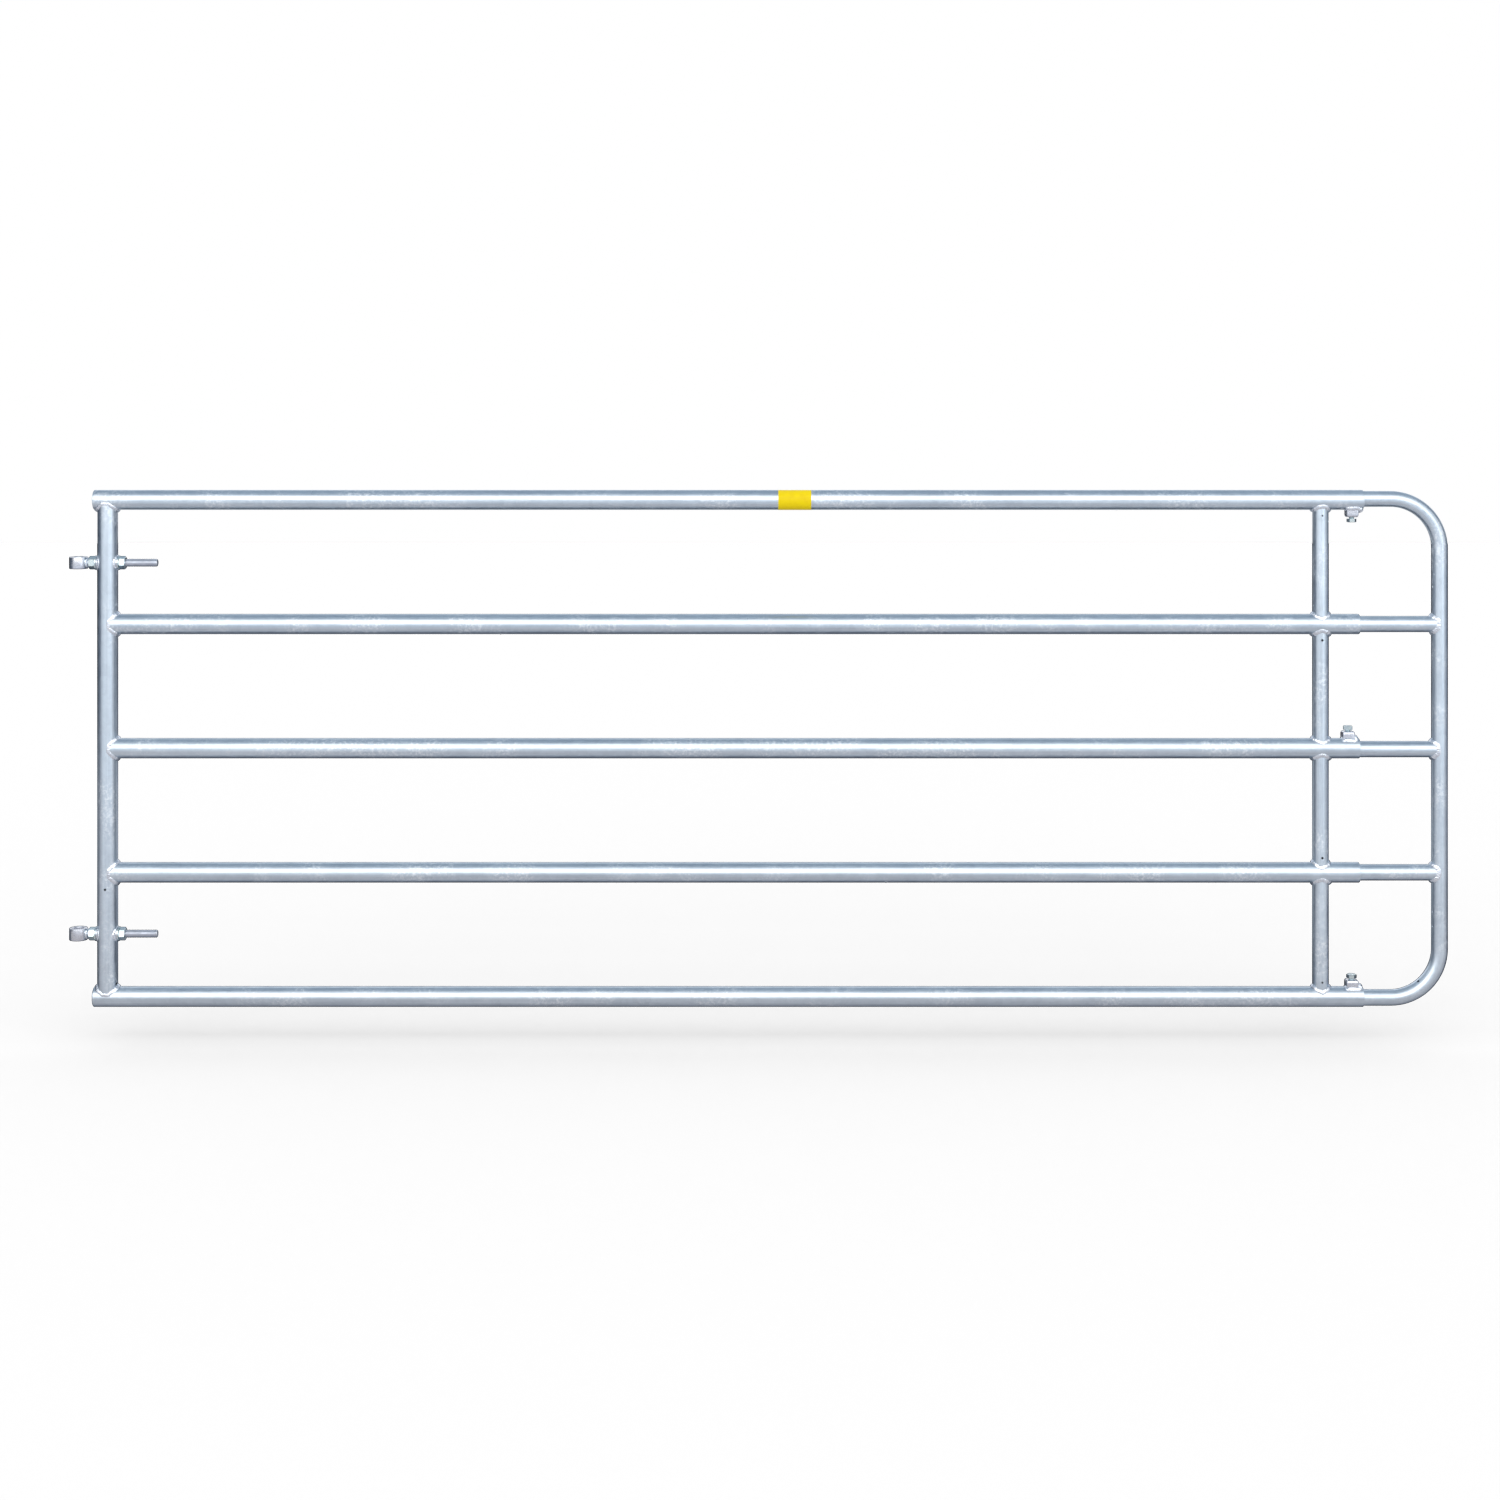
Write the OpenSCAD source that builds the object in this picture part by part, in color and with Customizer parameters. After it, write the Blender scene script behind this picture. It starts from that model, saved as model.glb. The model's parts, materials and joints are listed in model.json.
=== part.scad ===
// Adjustable tubular field gate, hung on two eyebolts.
// Millimetres. X runs from the hinge line to the latch end, Z is up and the front looks along -Y.
// The origin is the centre of the lower hinge eye.

/* [Frame] */
// Height over the top and bottom rails
gate_h = 1100; // [900:10:1400]
// Length of the top and bottom rails
rail_len = 2700; // [2000:10:4000]
// How far the top and bottom rails stand past the hinge post's outer face
rail_overhang = 6.8; // [3:0.1:40]
// How far the three middle rails stop short of the outer ones
mid_rail_setback = 8; // [0:0.5:20]
// Distance from the brace tubes' axis to the ends of the outer rails
brace_setback = 89; // [80:1:300]
// Outside diameter of the rails and the hinge post
frame_od = 42.4; // [40:0.1:60]
// Wall of the rails and the hinge post
frame_wall = 2.0; // [1.5:0.1:2.6]
// Outside diameter of the brace tubes
brace_od = 33.7; // [20:0.1:38]
// Wall of the brace tubes
brace_wall = 2.0; // [1.5:0.1:4]

/* [Extension] */
// Outside diameter of the bow and the slide tubes
slide_od = 33.7; // [26:0.1:36]
// Wall of the bow and the slide tubes
slide_wall = 2.0; // [1.5:0.1:4]
// Distance from the outer rails' ends to the axis of the bow's upright
bow_reach = 164.5; // [150:0.5:1150]
// Bend radius of the bow on its centre line
bow_bend_r = 105; // [70:1:110]
// Length of slide tube that stands inside a rail
slide_insert = 1300; // [400:10:1600]

/* [Clamps] */
// Distance from a rail's end to its clamp bolt's axis
clamp_inset = 23; // [22:0.5:40]
// Width of a clamp block, both ways
block_w = 25; // [22:0.5:32]
// Height of a clamp block above its rail's crown
block_h = 15.3; // [10:0.1:20]
// Chamfer on a clamp block's upright edges
block_chamfer = 1.5; // [0.5:0.1:3]
// Diameter of the clamp bolts
bolt_d = 12; // [8:1:14]
// Length of a clamp bolt under its head
bolt_len = 25; // [25:1:40]
// Width of a clamp bolt's head across its flats
bolt_af = 18; // [16:1:22]
// Height of a clamp bolt's head
bolt_head_h = 7.5; // [5:0.1:10]

/* [Hinges] */
// Height of the hinge eyes above the bottom rail's axis, and below the top rail's
hinge_inset = 133.8; // [70:0.1:150]
// Distance from the hinge line to the hinge post's axis
post_offset = 62; // [60:0.5:110]
// Outside diameter of a hinge eye
eye_od = 38; // [32:0.5:40]
// Bore of a hinge eye
eye_bore = 22; // [14:0.1:26]
// Height of a hinge eye
eye_h = 25; // [25:0.5:40]
// Diameter of the eyebolts' rods
rod_d = 16; // [12:0.5:16]
// Distance from the hinge post's axis to the end of a rod
rod_tail = 106; // [60:1:180]
// Outside diameter of the bushes in the hinge post
bush_od = 26.9; // [22:0.1:32]
// How far a bush stands out of the hinge post's wall
bush_proud = 1.5; // [1:0.1:2]
// Outside diameter of the washers
washer_od = 30; // [27:0.5:34]
// Thickness of the washers
washer_t = 3; // [2:0.1:3.5]
// Width of the nuts across their flats
nut_af = 24; // [22:0.5:27]
// Height of the nuts
nut_h = 13; // [10:0.5:13.5]

/* [Welds] */
// Leg of the weld beads between tubes
weld_leg = 6; // [3:0.1:6]
// Leg of the weld beads round the clamp blocks
block_weld_leg = 6; // [3:0.1:8]
// Leg of the weld beads between eye and rod
eye_weld_leg = 3.2; // [2:0.1:3.6]
// How far a bead's crown stands proud of the line between its toes
weld_crown = 1.2; // [0.2:0.1:2]

/* [Vents] */
// Diameter of the drain and vent holes
vent_d = 5; // [3:0.5:8]
// Distance from a rail's face to the vent hole in a brace tube or the hinge post
vent_gap = 12; // [10:0.5:40]

/* [Label] */
// Width of the label along the top rail
label_w = 70; // [30:1:200]
// Height of the label round the rail
label_wrap = 80; // [30:1:110]
// Distance from the middle of the top rail to the middle of the label, towards the latch end
label_shift = 141; // [-800:1:800]

/* [Hidden] */
$fn = 64;

// Clearances
fit_up = 0.3;        // between a coped tube end and the tube that it meets
weld_gap = 0.3;      // between a bead's facets and the tubes under them
slide_gap = 0.3;     // between a clamped slide tube, its rail and its bolt
run_gap = 0.05;      // radial, between a thread's crests and its nut or block
seat_gap = 0.05;     // between a nut and its washer
bush_gap = 0.1;      // radial, between a bush and its hole in the hinge post
rod_gap = 0.5;       // radial, between a rod and its bush or washer
bolt_hole_gap = 0.75; // radial, between a clamp bolt and its hole in the rail
label_gap = 0.05;    // between the label and the rail
label_t = 0.25;      // thickness of the label
overcut = 5;         // how far a cutter runs past the face that it opens

// Radii
frame_r = frame_od / 2;
brace_r = brace_od / 2;
slide_r = slide_od / 2;
bolt_r = bolt_d / 2;
eye_r = eye_od / 2;
rod_r = rod_d / 2;
bush_r = bush_od / 2;

// Heights of the five rails' axes, from the bottom one up
rail_count = 5;
rail_span = gate_h - frame_od;
rail_pitch = rail_span / (rail_count - 1);
rail_z = [for (i = [0 : rail_count - 1]) i * rail_pitch - hinge_inset];
hinge_spacing = rail_span - 2 * hinge_inset;
bottom_z = rail_z[0];
lower_z = rail_z[1];
middle_z = rail_z[2];
upper_z = rail_z[3];
top_z = rail_z[4];

// Places along the gate
post_x = post_offset;
rail_x0 = post_x - frame_r - rail_overhang;
rail_x1 = rail_x0 + rail_len;
mid_rail_x1 = rail_x1 - mid_rail_setback;
brace_x = rail_x1 - brace_setback;
bow_x = rail_x1 + bow_reach;

// A coped tube end is trimmed square this far from the axis of the tube that it meets
cope_lip = 6;

// A clamp bolt pushes its tube across the rail, until it lies on the far wall
slide_push = frame_r - frame_wall - slide_r - slide_gap;
bow_top_z = top_z + slide_push;
bow_bottom_z = bottom_z - slide_push;
middle_slide_z = middle_z - slide_push;

// Heights in a clamp, counted from its rail's axis
bolt_tip = slide_r - slide_push + slide_gap;
block_top = frame_r + block_h;
bolt_tip_chamfer = 1;
bolt_turns = [12, 20, 4]; // angles that the top, middle and bottom bolts were left at

// Distances along an eyebolt, counted from the hinge post's axis
bush_face = frame_r + bush_proud;
nut_seat = bush_face + washer_t + seat_gap;
rod_chamfer = 1.5;
eye_chamfer = 1;

// Chamfer of nuts and bolt heads
hex_face_share = 0.96;  // of the width across flats that the round end face has
hex_chamfer_angle = 30;

// Weld beads
weld_rings = 28;      // cross sections round a bead
bead_corners = 5;     // corners of a bead's cross section
crown_share = 0.33;   // where the two crown corners stand between the toes
bush_weld_leg = 3;
bush_weld_end = bush_face - weld_gap;
post_weld_leg = min(weld_leg, rail_overhang - weld_gap);

// The vent hole in the bow's lower bend, on its inner side
bow_vent_angle = 50;  // below the horizontal, round the bend
bow_vent_turn = 25;   // towards the front

// Label, from its upper edge round the front of the rail to behind its underside
label_top_angle = 78; // of its upper edge, above the horizontal

steel = "lightslategray";
weld_colour = "gainsboro";
zinc = "lightsteelblue";
label_colour = "gold";

// Unit vector along v
function unit(v) = v / norm(v);

// Corners of a fillet bead's section at angle t round a branch tube. The branch stands along +Z on a
// main tube that lies along X, and end is the height at which the bead stops on the branch.
function bead_section(t, main_r, branch_r, leg, end) =
  let (
    side = [cos(t), sin(t), 0],
    reach = sqrt(pow(main_r, 2) - pow(cope_lip, 2)),
    y = max(-reach, min(reach, branch_r * side.y)),
    z = sqrt(pow(main_r, 2) - pow(y, 2)),
    up = [0, y, z] / main_r,
    away = unit(side - (side * up) * up),
    rough_toe = [branch_r * side.x, y, z] + leg * away,
    toe_round = unit([0, rough_toe.y, rough_toe.z]) * (main_r + weld_gap),
    toe_main = [rough_toe.x, toe_round.y, toe_round.z],
    on_branch = (branch_r + weld_gap) * side,
    root_z = sqrt(max(pow(main_r + weld_gap, 2) - pow(on_branch.y, 2), pow(z, 2))),
    root = on_branch + [0, 0, root_z],
    toe_branch = on_branch + [0, 0, min(z + leg, end)],
    crown = weld_crown * unit(side + up)
  )
  [
    root,
    toe_main,
    toe_main + crown_share * (toe_branch - toe_main) + crown,
    toe_branch + crown_share * (toe_main - toe_branch) + crown,
    toe_branch
  ];

// Bead round a branch tube along +Z, on a main tube along X
module saddle_bead(main_r, branch_r, leg, end = gate_h) {
  step = 360 / weld_rings;
  points = [for (i = [0 : weld_rings - 1]) each bead_section(i * step, main_r, branch_r, leg, end)];
  faces = [
    for (i = [0 : weld_rings - 1], j = [0 : bead_corners - 1])
      let (
        a = i * bead_corners + j,
        b = i * bead_corners + (j + 1) % bead_corners,
        next = ((i + 1) % weld_rings) * bead_corners,
        c = next + (j + 1) % bead_corners,
        d = next + j
      )
      each [[a, b, c], [a, c, d]]
  ];
  polyhedron(points, faces);
}

// Cylinder along X from x0 to x1
module bar_x(r, x0, x1) {
  translate([x0, 0, 0]) rotate([0, 90, 0]) cylinder(r = r, h = x1 - x0);
}

// Hollow tube along X from x0 to x1
module tube_x(r, wall, x0, x1) {
  difference() {
    bar_x(r, x0, x1);
    bar_x(r - wall, x0 - overcut, x1 + overcut);
  }
}

// Hollow tube along Z from z0 to z1
module tube_z(r, wall, z0, z1) {
  difference() {
    translate([0, 0, z0]) cylinder(r = r, h = z1 - z0);
    translate([0, 0, z0 - overcut]) cylinder(r = r - wall, h = z1 - z0 + 2 * overcut);
  }
}

// Vent hole through the front wall of an upright tube
module front_vent(r) {
  rotate([90, 0, 0]) cylinder(d = vent_d, h = r + overcut);
}

// Outer rail, drilled for its clamp bolt on the side that bolt_dir points to
module outer_rail(z, bolt_dir) {
  color(steel) translate([0, 0, z]) difference() {
    tube_x(frame_r, frame_wall, rail_x0, rail_x1);
    bolt_hole(rail_x1 - clamp_inset, bolt_dir);
  }
}

// Middle rail, coped to the hinge post
module coped_rail(z, drilled = false) {
  color(steel) translate([0, 0, z]) difference() {
    tube_x(frame_r, frame_wall, post_x + cope_lip, mid_rail_x1);
    translate([post_x, 0, -frame_od]) cylinder(r = frame_r + fit_up, h = 2 * frame_od);
    if (drilled) bolt_hole(mid_rail_x1 - clamp_inset, 1);
  }
}

// Clearance hole for a clamp bolt in one wall of a rail
module bolt_hole(x, bolt_dir) {
  translate([x, 0, 0]) rotate([bolt_dir > 0 ? 0 : 180, 0, 0])
    cylinder(r = bolt_r + bolt_hole_gap, h = frame_r + overcut);
}

module top_rail() { outer_rail(top_z, -1); }
module upper_rail() { coped_rail(upper_z); }
module middle_rail() { coped_rail(middle_z, drilled = true); }
module lower_rail() { coped_rail(lower_z); }
module bottom_rail() { outer_rail(bottom_z, 1); }

// Upright tube coped to the rails above and below it, with a vent hole in front at vent_z
module upright(r, wall, z0, z1, lip, vent_z) {
  difference() {
    tube_z(r, wall, z0 + lip, z1 - lip);
    for (z = [z0, z1]) translate([0, 0, z]) bar_x(frame_r + fit_up, -frame_od, frame_od);
    translate([0, 0, vent_z]) front_vent(r);
  }
}

module hinge_post() {
  color(steel) translate([post_x, 0, 0]) difference() {
    upright(frame_r, frame_wall, bottom_z, top_z, cope_lip, lower_z - frame_r - vent_gap);
    for (z = [0, hinge_spacing]) translate([0, 0, z]) bar_x(bush_r + bush_gap, -frame_od, frame_od);
  }
}

// Brace tube between two rails, vented near its upper or lower end
module brace(z0, z1, vent_high) {
  vent_z = vent_high ? z1 - frame_r - vent_gap : z0 + frame_r + vent_gap;
  color(steel) translate([brace_x, 0, 0]) upright(brace_r, brace_wall, z0, z1, 0, vent_z);
}

module brace_top() { brace(upper_z, top_z, true); }
module brace_upper() { brace(middle_z, upper_z, true); }
module brace_lower() { brace(lower_z, middle_z, false); }
module brace_bottom() { brace(bottom_z, lower_z, false); }

// Bush through the hinge post at an eyebolt's height
module hinge_bush(z) {
  color(steel) translate([post_x, 0, z]) difference() {
    bar_x(bush_r, -bush_face, bush_face);
    bar_x(rod_r + rod_gap, -bush_face - overcut, bush_face + overcut);
  }
}

module upper_hinge_bush() { hinge_bush(hinge_spacing); }
module lower_hinge_bush() { hinge_bush(0); }

// Washer on the outer (-1) or inner (1) end of a bush
module washer(z, end) {
  color(zinc) translate([post_x, 0, z]) rotate([0, 0, end < 0 ? 180 : 0]) difference() {
    bar_x(washer_od / 2, bush_face, bush_face + washer_t);
    bar_x(rod_r + rod_gap, bush_face - overcut, bush_face + washer_t + overcut);
  }
}

module upper_outer_washer() { washer(hinge_spacing, -1); }
module upper_inner_washer() { washer(hinge_spacing, 1); }
module lower_outer_washer() { washer(0, -1); }
module lower_inner_washer() { washer(0, 1); }

// Square with chamfered corners, as the plan of a clamp block
module block_plan(w, c) {
  h = w / 2;
  polygon([
    [h, c - h], [h, h - c], [h - c, h], [c - h, h], [-h, h - c], [-h, c - h], [c - h, -h], [h - c, -h]
  ]);
}

// Places a clamp's children on a rail's axis, the right way up
module at_clamp(x, z, bolt_dir) {
  translate([x, 0, z]) rotate([bolt_dir > 0 ? 0 : 180, 0, 0]) children();
}

module at_top_clamp() { at_clamp(rail_x1 - clamp_inset, top_z, -1) children(); }
module at_middle_clamp() { at_clamp(mid_rail_x1 - clamp_inset, middle_z, 1) children(); }
module at_bottom_clamp() { at_clamp(rail_x1 - clamp_inset, bottom_z, 1) children(); }

// Tapped block, coped to its rail
module clamp_block() {
  color(steel) difference() {
    linear_extrude(block_top) block_plan(block_w, block_chamfer);
    bar_x(frame_r + fit_up, -block_w, block_w);
    cylinder(r = bolt_r + run_gap, h = block_top + overcut);
  }
}

module clamp_block_top() { at_top_clamp() clamp_block(); }
module clamp_block_middle() { at_middle_clamp() clamp_block(); }
module clamp_block_bottom() { at_bottom_clamp() clamp_block(); }

// Bead across the rail at one end of a clamp block: a fillet section swept round the rail
module block_end_bead() {
  leg = block_weld_leg;
  sweep = 2 * asin(block_w / frame_od);
  crown = leg / 2 + weld_crown / sqrt(2);
  rotate([0, 90, 0]) rotate([0, 0, 180 - sweep / 2]) rotate_extrude(angle = sweep)
    translate([frame_r, block_w / 2])
      polygon([[weld_gap, weld_gap], [leg, weld_gap], [crown, crown], [weld_gap, leg]]);
}

// Bead along the rail at one side of a clamp block
module block_side_bead() {
  y = block_w / 2 + weld_gap;
  z = sqrt(pow(frame_r, 2) - pow(block_w / 2, 2));
  turn = asin(block_w / frame_od) + block_weld_leg / frame_r * 180 / PI;
  toe = (frame_r + weld_gap) * [sin(turn), cos(turn)];
  top = [y, z + block_weld_leg];
  crown = (toe + top) / 2 + weld_crown * unit([top.y - toe.y, toe.x - top.x]);
  difference() {
    translate([-block_w / 2, 0, 0]) rotate([90, 0, 90]) linear_extrude(block_w)
      polygon([[y, toe.y], toe, crown, top]);
    bar_x(frame_r + weld_gap, -block_w, block_w);
  }
}

module clamp_block_bead() {
  for (turn = [0, 180]) rotate([0, 0, turn]) {
    block_end_bead();
    block_side_bead();
  }
}

module clamp_block_welds() {
  color(weld_colour) {
    at_top_clamp() clamp_block_bead();
    at_middle_clamp() clamp_block_bead();
    at_bottom_clamp() clamp_block_bead();
  }
}

module hinge_post_welds() {
  color(weld_colour) translate([post_x, 0, 0]) {
    translate([0, 0, bottom_z]) saddle_bead(frame_r, frame_r, post_weld_leg);
    translate([0, 0, top_z]) rotate([180, 0, 0]) saddle_bead(frame_r, frame_r, post_weld_leg);
    for (z = [lower_z, middle_z, upper_z])
      translate([0, 0, z]) rotate([0, 90, 0]) saddle_bead(frame_r, frame_r, weld_leg);
  }
}

module brace_welds() {
  color(weld_colour) translate([brace_x, 0, 0]) for (i = [0 : rail_count - 2]) {
    translate([0, 0, rail_z[i]]) saddle_bead(frame_r, brace_r, weld_leg);
    translate([0, 0, rail_z[i + 1]]) rotate([180, 0, 0]) saddle_bead(frame_r, brace_r, weld_leg);
  }
}

module bush_welds() {
  color(weld_colour) for (z = [0, hinge_spacing], side = [-90, 90])
    translate([post_x, 0, z]) rotate([0, side, 0])
      saddle_bead(frame_r, bush_r, bush_weld_leg, bush_weld_end);
}

module extension_welds() {
  color(weld_colour) for (z = [lower_z, middle_slide_z, upper_z])
    translate([bow_x, 0, z]) rotate([0, -90, 0]) saddle_bead(slide_r, slide_r, weld_leg);
}

module label() {
  sweep = label_wrap / frame_r * 180 / PI;
  x = (rail_x0 + rail_x1 - label_w) / 2 + label_shift;
  color(label_colour) translate([x, 0, top_z]) rotate([0, 90, 0])
    rotate([0, 0, label_top_angle - 90 - sweep]) rotate_extrude(angle = sweep)
      translate([frame_r + label_gap, 0]) square([label_t, label_w]);
}

// One quarter bend of the bow, from +X round to +Z
module bow_bend() {
  rotate([90, 0, 0]) rotate([0, 0, -90]) rotate_extrude(angle = 90) translate([bow_bend_r, 0])
    difference() {
      circle(slide_r);
      circle(slide_r - slide_wall);
    }
}

module bow_vent() {
  rotate([0, bow_vent_angle, 0]) translate([bow_bend_r, 0, 0]) rotate([0, 0, bow_vent_turn])
    rotate([0, -90, 0]) cylinder(d = vent_d, h = slide_r + overcut);
}

module extension_bow() {
  arm_x0 = rail_x1 - slide_insert;
  arm_x1 = bow_x - bow_bend_r;
  color(steel) {
    for (z = [bow_bottom_z, bow_top_z]) translate([0, 0, z]) tube_x(slide_r, slide_wall, arm_x0, arm_x1);
    difference() {
      translate([arm_x1, 0, bow_bottom_z + bow_bend_r]) bow_bend();
      translate([arm_x1, 0, bow_bottom_z + bow_bend_r]) bow_vent();
    }
    translate([arm_x1, 0, bow_top_z - bow_bend_r]) mirror([0, 0, 1]) bow_bend();
    translate([bow_x, 0, 0]) tube_z(slide_r, slide_wall, bow_bottom_z + bow_bend_r, bow_top_z - bow_bend_r);
  }
}

// Slide tube, coped to the bow's upright
module slide_tube(z) {
  color(steel) translate([0, 0, z]) difference() {
    tube_x(slide_r, slide_wall, mid_rail_x1 - slide_insert, bow_x - cope_lip);
    translate([bow_x, 0, -slide_od]) cylinder(r = slide_r + fit_up, h = 2 * slide_od);
  }
}

module upper_slide_tube() { slide_tube(upper_z); }
module middle_slide_tube() { slide_tube(middle_slide_z); }
module lower_slide_tube() { slide_tube(lower_z); }

// Hexagon along Z, its corners chamfered at the top, and at the bottom too for a nut
module hex_body(af, h, both_ends) {
  corner_r = af / sqrt(3);
  face_r = hex_face_share * af / 2;
  drop = (corner_r - face_r) * tan(hex_chamfer_angle);
  low_r = both_ends ? face_r : corner_r;
  low_z = both_ends ? drop : 0;
  intersection() {
    cylinder(r = corner_r, h = h, $fn = 6);
    rotate_extrude() polygon([
      [0, 0], [low_r, 0], [corner_r, low_z], [corner_r, h - drop], [face_r, h], [0, h]
    ]);
  }
}

// Hex bolt with its tip down on the slide tube
module clamp_bolt(turn) {
  head_z = bolt_tip + bolt_len;
  color(zinc) rotate([0, 0, turn]) {
    translate([0, 0, head_z]) hex_body(bolt_af, bolt_head_h, false);
    rotate_extrude() polygon([
      [0, bolt_tip],
      [bolt_r - bolt_tip_chamfer, bolt_tip],
      [bolt_r, bolt_tip + bolt_tip_chamfer],
      [bolt_r, head_z],
      [0, head_z]
    ]);
  }
}

module clamp_bolt_top() { at_top_clamp() clamp_bolt(bolt_turns[0]); }
module clamp_bolt_middle() { at_middle_clamp() clamp_bolt(bolt_turns[1]); }
module clamp_bolt_bottom() { at_bottom_clamp() clamp_bolt(bolt_turns[2]); }

// Hinge eye round the hinge line
module eye(z) {
  r0 = eye_bore / 2;
  h = eye_h / 2;
  c = eye_chamfer;
  color(steel) translate([0, 0, z]) rotate_extrude() polygon([
    [r0, c - h], [r0 + c, -h], [eye_r - c, -h], [eye_r, c - h],
    [eye_r, h - c], [eye_r - c, h], [r0 + c, h], [r0, h - c]
  ]);
}

// Threaded rod, coped to its eye
module eye_rod(z) {
  len = post_x + rod_tail;
  color(zinc) translate([0, 0, z]) difference() {
    rotate([0, 90, 0]) rotate_extrude()
      polygon([[0, 0], [rod_r, 0], [rod_r, len - rod_chamfer], [rod_r - rod_chamfer, len], [0, len]]);
    translate([0, 0, -eye_h]) cylinder(r = eye_r + fit_up, h = 2 * eye_h);
  }
}

module eye_weld(z) {
  color(weld_colour) translate([0, 0, z]) rotate([0, 90, 0]) saddle_bead(eye_r, rod_r, eye_weld_leg);
}

module upper_eye() { eye(hinge_spacing); }
module upper_eye_rod() { eye_rod(hinge_spacing); }
module upper_eye_weld() { eye_weld(hinge_spacing); }
module lower_eye() { eye(0); }
module lower_eye_rod() { eye_rod(0); }
module lower_eye_weld() { eye_weld(0); }

// Hex nut against the washer on the outer (-1) or inner (1) side of the hinge post
module nut(z, end) {
  color(zinc) translate([post_x, 0, z]) rotate([0, 0, end < 0 ? 180 : 0])
    translate([nut_seat, 0, 0]) rotate([0, 90, 0]) difference() {
      hex_body(nut_af, nut_h, true);
      translate([0, 0, -overcut]) cylinder(r = rod_r + run_gap, h = nut_h + 2 * overcut);
    }
}

module upper_outer_nut() { nut(hinge_spacing, -1); }
module upper_inner_nut() { nut(hinge_spacing, 1); }
module lower_outer_nut() { nut(0, -1); }
module lower_inner_nut() { nut(0, 1); }

top_rail();
upper_rail();
middle_rail();
lower_rail();
bottom_rail();
hinge_post();
brace_top();
brace_upper();
brace_lower();
brace_bottom();
upper_hinge_bush();
lower_hinge_bush();
upper_outer_washer();
upper_inner_washer();
lower_outer_washer();
lower_inner_washer();
clamp_block_top();
clamp_block_middle();
clamp_block_bottom();
hinge_post_welds();
brace_welds();
bush_welds();
clamp_block_welds();
label();
extension_bow();
upper_slide_tube();
middle_slide_tube();
lower_slide_tube();
extension_welds();
clamp_bolt_top();
clamp_bolt_middle();
clamp_bolt_bottom();
upper_eye();
upper_eye_rod();
upper_eye_weld();
lower_eye();
lower_eye_rod();
lower_eye_weld();
upper_outer_nut();
upper_inner_nut();
lower_outer_nut();
lower_inner_nut();
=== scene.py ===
import json
import math
import bpy
import bmesh
from mathutils import Matrix, Vector, noise


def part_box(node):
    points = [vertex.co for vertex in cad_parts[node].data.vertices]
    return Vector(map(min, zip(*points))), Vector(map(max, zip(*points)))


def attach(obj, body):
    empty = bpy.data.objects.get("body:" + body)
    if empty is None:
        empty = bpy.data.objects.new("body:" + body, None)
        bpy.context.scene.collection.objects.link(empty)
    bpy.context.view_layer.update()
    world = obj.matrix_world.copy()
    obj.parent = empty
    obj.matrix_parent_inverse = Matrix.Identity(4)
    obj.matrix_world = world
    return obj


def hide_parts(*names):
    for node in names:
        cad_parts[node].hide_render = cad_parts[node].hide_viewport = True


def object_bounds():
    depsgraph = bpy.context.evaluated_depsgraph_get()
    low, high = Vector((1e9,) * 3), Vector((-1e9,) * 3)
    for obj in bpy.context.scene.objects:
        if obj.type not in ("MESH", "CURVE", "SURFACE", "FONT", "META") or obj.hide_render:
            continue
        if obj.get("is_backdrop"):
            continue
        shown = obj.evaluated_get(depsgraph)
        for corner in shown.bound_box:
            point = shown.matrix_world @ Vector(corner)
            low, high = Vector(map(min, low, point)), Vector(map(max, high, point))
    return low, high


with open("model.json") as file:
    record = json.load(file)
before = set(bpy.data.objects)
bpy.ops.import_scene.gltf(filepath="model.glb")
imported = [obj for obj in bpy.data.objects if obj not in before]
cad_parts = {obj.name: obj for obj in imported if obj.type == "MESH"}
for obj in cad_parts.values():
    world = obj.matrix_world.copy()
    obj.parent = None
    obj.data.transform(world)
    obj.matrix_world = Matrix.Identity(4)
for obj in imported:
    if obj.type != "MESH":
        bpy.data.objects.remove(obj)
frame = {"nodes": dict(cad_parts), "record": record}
cadLow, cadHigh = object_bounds()
print("frame loaded:", len(frame["nodes"]), "nodes")

front = Vector((0, -1, 0))
alongX = Vector((1, 0, 0))
upZ = Vector((0, 0, 1))
fullTurn = 2 * math.pi


# where the pieces stand, read off the frame
def middle(node):
    low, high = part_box(node)
    return (low + high) / 2


railNames = ["bottom_rail", "lower_rail", "middle_rail", "upper_rail", "top_rail"]
braceNames = ["brace_bottom", "brace_lower", "brace_upper", "brace_top"]
slideNames = ["lower_slide_tube", "middle_slide_tube", "upper_slide_tube"]
railZ = [middle(n).z for n in railNames]
slideZ = [middle(n).z for n in slideNames]
postX = middle("hinge_post").x
braceX = middle("brace_top").x
hinges = [(side, middle(side + "_eye").z) for side in ("lower", "upper")]
hingeEnds = [("outer", -1, "left"), ("inner", 1, "right")]  # side of the post, sign along X, way


# materials

def addNode(tree, kind, **sockets):
    node = tree.nodes.new(kind)
    for name, value in sockets.items():
        node.inputs[name.replace("_", " ")].default_value = value
    return node


def wire(tree, source, target):
    tree.links.new(source, target)


def noiseOf(tree, vector, scale, detail, rough=0.5):
    node = addNode(tree, "ShaderNodeTexNoise", Scale=scale, Detail=detail, Roughness=rough)
    wire(tree, vector, node.inputs["Vector"])
    return node.outputs["Fac"]


def ranged(tree, value, low, high, toLow=0.0, toHigh=1.0):
    node = tree.nodes.new("ShaderNodeMapRange")
    node.interpolation_type = "SMOOTHSTEP"
    for socket, number in zip(node.inputs[1:5], (low, high, toLow, toHigh)):
        socket.default_value = number
    wire(tree, value, node.inputs[0])
    return node.outputs[0]


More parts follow.
